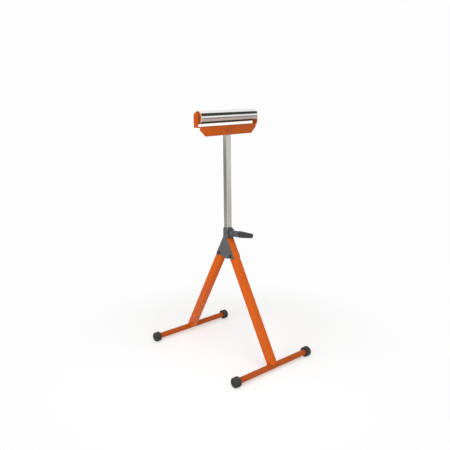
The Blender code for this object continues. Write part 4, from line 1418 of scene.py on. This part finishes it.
@dataclass
class Clamp:
    """The block, shoe, bolt and hand lever that clamp the post."""

    height: float = 559.0 * MM
    block_half: float = 12.5 * MM
    block_front: float = -26.75 * MM
    block_back: float = -14.75 * MM
    block_low: float = 540.0 * MM
    block_top: float = 578.5 * MM
    block_corner: float = 6.0 * MM
    bolt_radius: float = 5.0 * MM
    gap: float = 0.3 * MM
    shoe_radius: float = 6.0 * MM
    shoe_back: float = -13.0 * MM
    shoe: float = 3.0 * MM
    pocket_front: float = -17.5 * MM
    droop: float = 15.8
    hub_radius: float = 14.5 * MM
    hub_back: float = -27.05 * MM
    hub_length: float = 15.0 * MM
    arm_half: float = 4.0 * MM
    arm_length: float = 34.0 * MM
    arm_root: float = 13.9 * MM
    arm_end: float = 13.2 * MM
    tang_length: float = 26.0 * MM
    tang_half: float = 6.5 * MM
    grip_length: float = 88.0 * MM
    grip_half: float = 15.2 * MM
    grip_thick: float = 8.7 * MM
    grip_chamfer: float = 4.4 * MM
    grip_sections: tuple[Pair, ...] = (
        (0.0, 0.86), (0.012, 0.97), (0.05, 1.0), (0.16, 1.0), (0.40, 0.93),
        (0.72, 0.79), (0.88, 0.74), (0.95, 0.66), (0.985, 0.50), (1.0, 0.30),
    )
    recess: Pair = (0.16, 0.90)
    recess_inset: float = 1.6 * MM
    recess_share: float = 0.87
    slot_overrun: float = 4.0 * MM
    drill: float = 60.0 * MM
    shoe_chamfer: float = 0.4 * MM
    panel_inset: float = 3.2 * MM
    panel_depth: float = 0.9 * MM
    hub_rounding: float = 1.6 * MM
    edge: float = 0.8 * MM
    bolt: HexFastener = field(
        default_factory=lambda: HexFastener(5.0 * MM, 26.05 * MM, 16.0 * MM, 6.0 * MM, 12.0 * MM, 1.5 * MM)
    )

    @property
    def lever_place(self) -> Matrix:
        """The lever's own frame: X along it and Z to the front, drooping from its hub.

        Returns:
            The matrix that places a shape made in that frame.
        """
        middle = self.hub_back - self.hub_length / 2
        turn = Matrix.Rotation(math.radians(self.droop), 4, "Y") @ Matrix.Rotation(math.pi / 2, 4, "X")
        return Matrix.Translation((0, middle, self.height)) @ turn

    def build(self) -> None:
        """Builds the clamp from the sleeve outwards."""
        self.build_block()
        self.build_shoe()
        self.build_arm()
        self.build_grip()
        seat = self.hub_back - self.hub_length - self.gap
        bolt = self.bolt.build_bolt("lever_bolt", Facing.FRONT.at(0, seat, self.height))
        Bench.hand_over(bolt, "clamp_lever", LEVER_CASTING, "clamp_bolt")

    def build_block(self) -> None:
        """Makes the tapped block on the front of the sleeve."""
        half = self.block_half
        block = Bench.block(
            "tapped_block", (-half, self.block_front, self.block_low), (half, self.block_back, self.block_top)
        )
        Bench.edit(block)
        Bench.pick_edges(block, lambda middle, run: abs(run.y) > TINY)
        Bench.round_picked(self.block_corner)
        bpy.ops.object.mode_set(mode="OBJECT")
        place = Facing.FRONT.at(0, self.block_front, self.height)
        Bench.bore(block, self.bolt_radius + self.gap, self.drill, place)
        depth = self.block_back - self.pocket_front
        place = Facing.FRONT.at(0, self.pocket_front + depth, self.height)
        Bench.bore(block, self.shoe_radius + self.gap, 2 * depth, place)
        Bench.soften(block, self.edge, 3)
        Bench.hand_over(block, "clamp_unit", CLAMP_CASTING_PAINT, "clamp_block")

    def build_shoe(self) -> None:
        """Turns the brass shoe that bears on the post."""
        radius, half, chamfer = self.shoe_radius, self.shoe / 2, self.shoe_chamfer
        rings = [(radius - chamfer, -half), (radius, chamfer - half)]
        rings += [(radius, half - chamfer), (radius - chamfer, half)]
        place = Facing.FRONT.at(0, self.shoe_back - half, self.height)
        shoe = Bench.turned("brass_shoe", rings, place)
        Bench.hand_over(shoe, "shoe", CAST_BRASS, "clamp_shoe")

    def build_arm(self) -> None:
        """Casts the lever's arm: a hub, a tapering blade with a sunk panel, and a tang."""
        half = self.arm_half
        arm = Bench.block(
            "cast_lever_arm", (0, -self.arm_root, -half), (self.arm_length, self.arm_root, half)
        )
        Bench.edit(arm)
        Bench.pick_faces(arm, lambda middle, normal: normal.x > 0.5)
        Bench.stretch((1, self.arm_end / self.arm_root, 1), (self.arm_length, 0, 0))
        Bench.pull((0, 0, 0))
        Bench.stretch((1, self.tang_half / self.arm_end, 1), (self.arm_length, 0, 0))
        Bench.pull((self.tang_length, 0, 0))
        Bench.pick_faces(arm, lambda middle, normal: normal.z > 0.5 and middle.x < self.arm_length)
        bpy.ops.mesh.inset(thickness=self.panel_inset)
        Bench.pull((0, 0, -self.panel_depth))
        Bench.close_up()
        hub_half, rounding = self.hub_length / 2, self.hub_rounding
        rings = arc_rings((self.hub_radius - rounding, rounding - hub_half), rounding, -90, 0)
        rings += arc_rings((self.hub_radius - rounding, hub_half - rounding), rounding, 0, 90)
        Bench.combine(arm, Bench.turned("lever_hub", rings, Matrix(), ROUND), "UNION")
        Bench.bore(arm, self.bolt_radius + self.gap, 2 * self.hub_length, Matrix())
        Bench.soften(arm, self.edge, 3)
        Bench.put(arm, self.lever_place)
        Bench.hand_over(arm, "clamp_lever", LEVER_CASTING, "lever_arm")

    def build_grip(self) -> None:
        """Moulds the handle from a coarse cage, with a shallow recess along each face."""
        start = self.arm_length + self.gap
        end = start + self.grip_length
        wide, thick = self.grip_half, self.grip_thick
        grip = Bench.block("moulded_grip", (start, -wide, -thick), (end, wide, thick))
        Bench.edit(grip)
        Bench.pick_edges(grip, lambda middle, run: abs(run.x) > TINY)
        Bench.round_picked(self.grip_chamfer, 1)
        for share, _ in self.grip_sections[1:-1]:
            Bench.slice_at((start + share * self.grip_length, 0, 0), (1, 0, 0))
        for share, scale in self.grip_sections:
            x = start + share * self.grip_length
            Bench.pick_points(grip, lambda point, x=x: abs(point.x - x) < TINY)
            Bench.stretch((1, scale, scale), (x, 0, 0))
        low, high = (start + share * self.grip_length for share in self.recess)
        Bench.pick_faces(grip, lambda middle, normal: abs(normal.z) > 0.9 and low < middle.x < high)
        bpy.ops.mesh.inset(thickness=self.recess_inset)
        Bench.stretch((1, 1, self.recess_share), (0, 0, 0))
        Bench.close_up()
        Bench.apply(grip, "SUBSURF", levels=3, render_levels=3)
        wide, deep = self.tang_half + self.gap, self.arm_half + self.gap
        far = self.arm_length + self.tang_length + self.gap
        slot = Bench.block("tang_slot", (start - self.slot_overrun, -wide, -deep), (far, wide, deep))
        Bench.combine(grip, slot, "DIFFERENCE")
        Bench.put(grip, self.lever_place)
        Bench.hand_over(grip, "clamp_lever", BLACK_MOULDED_PLASTIC, "lever_grip")


@dataclass
class LegSet:
    """Both folding legs, with their foot bars, rubber feet and pivots."""

    pivot: Pair = (40.0 * MM, 459.0 * MM)
    foot: Pair = (287.5 * MM, 21.894 * MM)
    half_width: float = 16.25 * MM
    half_depth: float = 17.0 * MM
    wall: float = 1.5 * MM
    corner: float = 3.0 * MM
    above_pivot: float = 78.0 * MM
    above_bar: float = 7.0 * MM
    notch_start: float = 18.79 * MM
    notch_depth: float = 4.5 * MM
    overrun: float = 4.0 * MM
    meeting: float = 0.5 * MM
    saddle: float = 13.0 * MM
    toe_bead: Pair = (14.0 * MM, 6.2 * MM)
    toe_radius: float = 3.2 * MM
    toe_ripple: float = 1.7 * MM
    toe_shares: tuple[float, ...] = (0.4, 0.88, 0.4, 0.0)
    toe_facets: int = 24
    weld_radius: float = 1.5 * MM
    weld_ripple: float = 0.18 * MM
    weld_gap: float = 0.5 * MM
    weld_segments: int = 96
    weld_facets: int = 12
    bush_hole: float = 6.6 * MM
    bar_radius: float = 12.7 * MM
    bar_wall: float = 1.5 * MM
    bar_half: float = 216.0 * MM
    cap_radius: float = 21.89 * MM
    cap_grip: float = 20.0 * MM
    cap_end: float = 6.0 * MM
    cap_rounding: float = 5.0 * MM
    cap_steps: int = 8
    cap_gap: float = 0.3 * MM
    cap_lip: float = 1.5 * MM
    cap_grooves: tuple[float, ...] = (-13.0 * MM, -8.0 * MM, -3.0 * MM)
    cap_groove: tuple[Pair, ...] = (
        (-0.9 * MM, 0.0), (-0.4 * MM, 0.7 * MM), (0.4 * MM, 0.7 * MM), (0.9 * MM, 0.0),
    )
    cap_dish: tuple[Pair, ...] = (
        (12.4 * MM, 0.0), (11.8 * MM, 0.8 * MM), (6.2 * MM, 0.8 * MM), (5.6 * MM, 0.0),
    )
    seat: float = 20.75 * MM
    washer_low: float = 18.85 * MM
    washer: float = 1.6 * MM
    washer_radius: float = 8.0 * MM
    bush_radius: float = 6.3 * MM
    bush_half: float = 16.25 * MM
    bolt_bore: float = 4.3 * MM
    washer_chamfer: float = 0.25 * MM
    edge: float = 0.3 * MM
    bolt: HexFastener = field(
        default_factory=lambda: HexFastener(4.0 * MM, 50.5 * MM, 13.0 * MM, 5.3 * MM, 7.0 * MM, 1.25 * MM)
    )

    def build(self) -> None:
        """Builds each piece once, at the rear, and turns copies of it to the front."""
        half_turn = Matrix.Rotation(math.pi, 4, "Z")
        for name, piece, finish, node in self.rear_pieces():
            front = Bench.copy_of(piece, f"front_{name}", half_turn)
            piece.name = f"rear_{name}"
            piece.data.name = piece.name
            for leg, made in ((Leg.REAR, piece), (Leg.FRONT, front)):
                nodes = (node.format(leg.label),) if node else ()
                Bench.hand_over(made, leg.body, finish, *nodes)
        self.build_feet()
        for leg in Leg:
            self.build_pivot(leg)

    def rear_pieces(self) -> list[tuple[str, Piece, Finish, str]]:
        """Makes the rear leg's own pieces.

        Returns:
            The name, shape, finish and node pattern of each piece.
        """
        pieces = [("box_leg", self.make_tube(), ORANGE_POWDER_COAT, "leg_{}")]
        pieces.append(("foot_bar_tube", self.make_bar(), FOOT_BAR_SHADED_PAINT, "foot_bar_{}"))
        for side in Side:
            pieces.append((f"foot_weld_{side.label}", self.make_weld(side), ORANGE_POWDER_COAT, ""))
        for name, across in (("outer_toe_weld", 1), ("inner_toe_weld", -1)):
            pieces.append((name, self.make_toe_weld(name, across), ORANGE_POWDER_COAT, ""))
        return pieces

    @property
    def leg_run(self) -> Vector:
        """The vector from the rear pivot to its foot bar."""
        return Vector((0, self.foot[0] - self.pivot[0], self.foot[1] - self.pivot[1]))

    def make_tube(self) -> Piece:
        """Makes the rear leg's rectangular tube and cuts its notch and its seats.

        Returns:
            The leg.
        """
        run = self.leg_run
        tilt = math.atan2(run.y, -run.z)
        wide, deep = self.half_width, self.half_depth
        ends = (self.above_bar - run.length, self.above_pivot)
        leg = Bench.box_tube("box_leg", (wide, deep), self.corner, self.wall, ends)
        over = self.overrun
        notch = Bench.block(
            "leg_notch",
            (-wide - over, -deep - over, self.notch_start),
            (wide + over, self.notch_depth - deep, self.above_pivot + over),
        )
        Bench.combine(leg, notch, "DIFFERENCE")
        Bench.put(leg, Matrix.Translation((0, *self.pivot)) @ Matrix.Rotation(tilt, 4, "X"))
        Bench.trim(leg, (0, self.meeting, 0), (0, -1, 0))
        Bench.bore(leg, self.saddle, 4 * self.half_width, Facing.RIGHT.at(0, *self.foot))
        Bench.bore(leg, self.bush_hole, 4 * self.half_width, Facing.RIGHT.at(0, *self.pivot))
        Bench.soften(leg, self.edge)
        return leg

    def make_bar(self) -> Piece:
        """Turns the rear foot bar.

        Returns:
            The bar.
        """
        inner = self.bar_radius - self.bar_wall
        rings = ring_section(inner, self.bar_radius, -self.bar_half, self.bar_half, self.edge)
        return Bench.turned("foot_bar_tube", rings, Facing.RIGHT.at(0, *self.foot), ROUND, hollow=True)

    def make_weld(self, side: Side) -> Piece:
        """Lays the rippled bead that holds the leg to its bar, outside one wall of the leg.

        Args:
            side: The wall that the bead runs along.

        Returns:
            The bead.
        """
        Bench.deselect()
        bpy.ops.mesh.primitive_torus_add(
            major_segments=self.weld_segments,
            minor_segments=self.weld_facets,
            major_radius=self.bar_radius + self.weld_gap,
            minor_radius=self.weld_radius,
        )
        bead = Bench.name_new(f"foot_weld_{side.label}")
        Bench.edit(bead)
        step = 2 * math.pi / self.weld_segments
        Bench.pick_points(bead, lambda point: round(math.atan2(point.y, point.x) / step) % 2 == 0)
        bpy.ops.transform.shrink_fatten(value=-self.weld_ripple)
        Bench.close_up()
        Bench.put(bead, side.outwards.at(side.value * (self.half_width + self.weld_gap), *self.foot))
        down = self.leg_run.normalized()
        Bench.trim(bead, Vector((0, *self.foot)) - down * (self.above_bar - self.weld_gap), down)
        return bead

    def make_toe_weld(self, name: str, across: int) -> Piece:
        """Fills the corner between the bar and the end of the leg's outer or inner wall.

        Args:
            name: The bead's name.
            across: 1 for the outer wall and -1 for the inner one.

        Returns:
            The bead.
        """
        up = -self.leg_run.normalized()
        outward = Vector((1, 0, 0)).cross(up) * -across
        middle = Vector((0, *self.foot)) + up * self.toe_bead[1] + outward * self.toe_bead[0]
        half = self.half_width - self.corner
        rings = bead_rings(self.toe_radius, (-half, half), self.toe_ripple, self.toe_shares)
        return Bench.turned(name, rings, Facing.RIGHT.at(*middle), self.toe_facets)

    def build_feet(self) -> None:
        """Moulds one rubber foot and copies it to the four ends of the bars."""
        bore, lip = self.bar_radius + self.cap_gap, self.cap_lip
        rim, end, round_off = self.cap_radius, self.cap_end, self.cap_rounding
        rings = [(bore, self.cap_gap), (bore, -self.cap_grip)]
        rings += arc_rings((rim - lip, lip - self.cap_grip), lip, -90, 0, self.cap_steps // 2)
        for groove in self.cap_grooves:
            rings += [(rim - depth, groove + shift) for shift, depth in self.cap_groove]
        rings += arc_rings((rim - round_off, end - round_off), round_off, 0, 90, self.cap_steps)
        rings += [(radius, end - depth) for radius, depth in self.cap_dish]
        seed = Bench.turned("rubber_foot_seed", rings, Matrix(), LARGE_ROUND)
        for leg in Leg:
            for side in Side:
                place = side.outwards.at(side.value * self.bar_half, leg.value * self.foot[0], self.foot[1])
                foot = Bench.copy_of(seed, f"{leg.label}_{side.label}_rubber_foot", place)
                Bench.hand_over(foot, leg.body, BLACK_RUBBER, f"foot_cap_{leg.label}_{side.label}")
        bpy.data.objects.remove(seed, do_unlink=True)

    def build_pivot(self, leg: Leg) -> None:
        """Makes the bolt, nut, bush and washers that one leg folds on.

        Args:
            leg: The leg.
        """
        y, z = leg.value * self.pivot[0], self.pivot[1]
        bolt = self.bolt.build_bolt(f"{leg.label}_pivot_bolt", Facing.LEFT.at(-self.seat, y, z))
        Bench.hand_over(bolt, "clamp_unit", BLACKENED_STEEL, f"pivot_bolt_{leg.label}")
        nut = self.bolt.build_nut(f"{leg.label}_pivot_nut", Facing.RIGHT.at(self.seat, y, z))
        Bench.hand_over(nut, "clamp_unit", BLACKENED_STEEL, f"pivot_nut_{leg.label}")
        rings = ring_section(self.bolt_bore, self.bush_radius, -self.bush_half, self.bush_half, self.edge)
        bush = Bench.turned(f"{leg.label}_pivot_bush", rings, Facing.RIGHT.at(0, y, z), hollow=True)
        Bench.hand_over(bush, "clamp_unit", BRIGHT_ZINC, f"pivot_bush_{leg.label}")
        rings = ring_section(self.bolt_bore, self.washer_radius, 0, self.washer, self.washer_chamfer)
        for side in Side:
            place = side.outwards.at(side.value * self.washer_low, y, z)
            washer = Bench.turned(f"{leg.label}_{side.label}_washer", rings, place, hollow=True)
            Bench.hand_over(washer, "clamp_unit", BRIGHT_ZINC, f"pivot_washer_{leg.label}_{side.label}")


LAMPS = (
    ("overhead_lamp", (-0.5, -1.5, 3.2), 2.2, 32.0),
    ("left_lamp", (-3.2, -0.6, 1.5), 1.8, 40.0),
    ("low_front_lamp", (-1.8, -3.0, 0.8), 1.8, 22.0),
)
# Glowing cards that only reflections see: painted reflections on the roller and the post. The small cards by
# the roller and the brown floor card paint the bracket and its shaded web into the roller's reflection.
CARDS = (
    ("upper_front_card", (1.7, -1.4, 2.46), (1.7, 0, 1.065), (4.0, 1.93), (0.05, 0.05, 0.05)),
    ("near_front_card", (0.1, -0.1, 1.033), (0.1, 0, 1.065), (0.42, 0.038), (0.28, 0.25, 0.25)),
    ("low_front_card", (0.08, -0.063, 1.003), (0.08, -0.037, 1.069), (0.4, 0.071), (0.56, 0.46, 0.44)),
    ("under_roller_card", (0, -0.004, 1.0287), (0, 0, 1.065), (0.29, 0.044), (0.075, 0.045, 0.03)),
    ("floor_card", (0.85, 0.07, 0.03), (0.85, 0, 1.065), (1.0, 0.55), (0.11, 0.06, 0.03)),
    ("back_left_card", (-2.2, 2.6, 0.3), (0, 0, 1.065), (3.0, 2.6), (0.25, 0.25, 0.25)),
    ("front_floor_card", (2.0, -2.35, 0.01), (2.0, -2.35, 1), (2.8, 3.0), (0.60, 0.58, 0.55)),
    ("back_floor_card", (-1.5, 1.8, 0.01), (-1.5, 1.8, 1), (2.2, 2.6), (0.45, 0.44, 0.43)),
)


@dataclass
class Studio:
    """The floor, the lamps, the glowing cards that paint reflections onto the metal, and the camera."""

    camera_place: Triple = (-1.57067, -1.85614, 1.1904)
    camera_yaw: float = 39.94
    camera_pitch: float = 13.84
    camera_roll: float = 0.71
    focal_share: float = 566.84 / 450
    sensor_width: float = 36.0
    paper_white: float = 0.985
    sky_light: float = 0.42
    floor_colour: float = 0.80
    near_matt: Colour = (0.66, 0.71, 0.76)
    near_glow: Colour = (0.47, 0.43, 0.39)
    lamp_aim: Triple = (0, 0, 0.55)
    floor_radius: float = 9.0
    floor_gap: float = 0.2 * MM
    glow_start: float = 0.4
    glow_end: float = 1.0

    def build(self) -> None:
        """Builds the whole studio."""
        bpy.context.scene.view_settings.view_transform = "Standard"
        self.build_world()
        self.build_floor()
        self.build_lamps()
        self.build_cards()
        self.build_camera()

    @staticmethod
    def seen_directly(graph: Graph) -> Socket:
        """Gives 1 for rays from the camera, from polished metal and through glass.

        Args:
            graph: The graph that the nodes go into.

        Returns:
            The socket that holds the 1 or 0.
        """
        path = graph.node("LightPath")
        seen = graph.maths("MAXIMUM", path.outputs["Is Camera Ray"], path.outputs["Is Glossy Ray"])
        return graph.maths("MAXIMUM", seen, path.outputs["Is Transmission Ray"])

    @staticmethod
    def bare_graph(owner: bpy.types.ID) -> Graph:
        """Empties the node tree of a material or a world, and gives its graph.

        Args:
            owner: The material or world.

        Returns:
            The graph of its empty tree.
        """
        owner.use_nodes = True
        owner.node_tree.nodes.clear()
        return Graph(owner.node_tree)

    def build_world(self) -> None:
        """Makes a soft even sky that cameras and polished metal see as white paper."""
        world = bpy.data.worlds.new("studio_sky")
        bpy.context.scene.world = world
        graph = self.bare_graph(world)
        soft = graph.node("Background", {"Color": (1, 1, 1, 1), "Strength": self.sky_light})
        white = graph.node("Background", {"Color": (1, 1, 1, 1), "Strength": self.paper_white})
        seen = self.seen_directly(graph)
        mix = graph.node("MixShader", {0: seen, 1: soft.outputs[0], 2: white.outputs[0]})
        graph.node("OutputWorld", {"Surface": mix.outputs[0]})

    def build_floor(self) -> None:
        """Makes a pale floor that keeps the stand's shadow and fades into white paper."""
        Bench.deselect()
        bpy.ops.mesh.primitive_circle_add(vertices=LARGE_ROUND, radius=self.floor_radius, fill_type="NGON")
        floor = Bench.name_new("studio_floor")
        floor.location.z = -self.floor_gap
        material = bpy.data.materials.new("studio_paper")
        graph = self.bare_graph(material)
        matt = graph.node("BsdfDiffuse", {"Color": (self.floor_colour,) * 3 + (1,)})
        shaded = graph.node("BsdfDiffuse", {"Color": (*self.near_matt, 1)})
        glow = graph.node("Emission", {"Color": (*self.near_glow, 1), "Strength": 1.0})
        near = graph.node("AddShader", {0: shaded.outputs[0], 1: glow.outputs[0]})
        paper = graph.node("Emission", {"Color": (1, 1, 1, 1), "Strength": self.paper_white})
        place = graph.node("TexCoord")
        reach = graph.node("VectorMath", {0: place.outputs["Object"]}, operation="LENGTH")
        fade = graph.node(
            "MapRange",
            {"Value": reach.outputs["Value"], "From Min": self.glow_start, "From Max": self.glow_end},
            interpolation_type="SMOOTHSTEP",
        )
        seen = graph.node("MixShader", {0: fade.outputs["Result"], 1: near.outputs[0], 2: paper.outputs[0]})
        mix = graph.node(
            "MixShader", {0: self.seen_directly(graph), 1: matt.outputs[0], 2: seen.outputs[0]}
        )
        graph.node("OutputMaterial", {"Surface": mix.outputs[0]})
        floor.data.materials.append(material)

    def build_lamps(self) -> None:
        """Hangs an overhead lamp, one at the left and a low one in front."""
        for name, place, size, power in LAMPS:
            data = bpy.data.lights.new(name, "AREA")
            data.shape = "SQUARE"
            data.size = size
            data.energy = power
            lamp = bpy.data.objects.new(name, data)
            bpy.context.scene.collection.objects.link(lamp)
            lamp.location = place
            lamp.rotation_euler = (Vector(place) - Vector(self.lamp_aim)).to_track_quat("Z", "Y").to_euler()
            lamp.visible_glossy = False

    def build_cards(self) -> None:
        """Sets up the glowing dark and grey cards that only reflections see, which paint the reflection bands
        on the roller and the post, and the shaded web's dark reflection under the roller.
        """
        for name, place, aim, size, tone in CARDS:
            Bench.deselect()
            bpy.ops.mesh.primitive_plane_add(size=1)
            card = Bench.name_new(name)
            card.scale = (*size, 1)
            card.location = place
            card.rotation_euler = (Vector(aim) - Vector(place)).to_track_quat("Z", "Y").to_euler()
            material = bpy.data.materials.new(name)
            graph = self.bare_graph(material)
            shade = graph.node("Emission", {"Color": (*tone, 1), "Strength": 1.0})
            graph.node("OutputMaterial", {"Surface": shade.outputs[0]})
            card.data.materials.append(material)
            card.visible_camera = False
            card.visible_diffuse = False
            card.visible_shadow = False
            card.visible_transmission = False

    def build_camera(self) -> None:
        """Sets the camera at the photograph's viewpoint, found from the stand's known corners."""
        yaw, pitch, roll = (
            math.radians(angle) for angle in (self.camera_yaw, self.camera_pitch, self.camera_roll)
        )
        ahead = Vector((math.sin(yaw) * math.cos(pitch), math.cos(yaw) * math.cos(pitch), -math.sin(pitch)))
        level = Vector((math.cos(yaw), -math.sin(yaw), 0))
        below = ahead.cross(level)
        right = level * math.cos(roll) + below * math.sin(roll)
        down = below * math.cos(roll) - level * math.sin(roll)
        data = bpy.data.cameras.new("photo_camera")
        data.sensor_width = self.sensor_width
        data.lens = self.focal_share * self.sensor_width
        camera = bpy.data.objects.new("photo_camera", data)
        bpy.context.scene.collection.objects.link(camera)
        turn = Matrix((right, -down, -ahead)).transposed().to_4x4()
        camera.matrix_world = Matrix.Translation(self.camera_place) @ turn
        bpy.context.scene.camera = camera


def main() -> None:
    """Builds the stand's sub-assemblies in order, then the studio."""
    logging.basicConfig(level=logging.INFO, format="%(message)s")
    for assembly in (Head(), Roller(), Post(), Collar(), Clamp(), LegSet()):
        LOG.info("building %s", type(assembly).__name__)
        assembly.build()
    Studio().build()


if __name__ == "__main__":
    main()
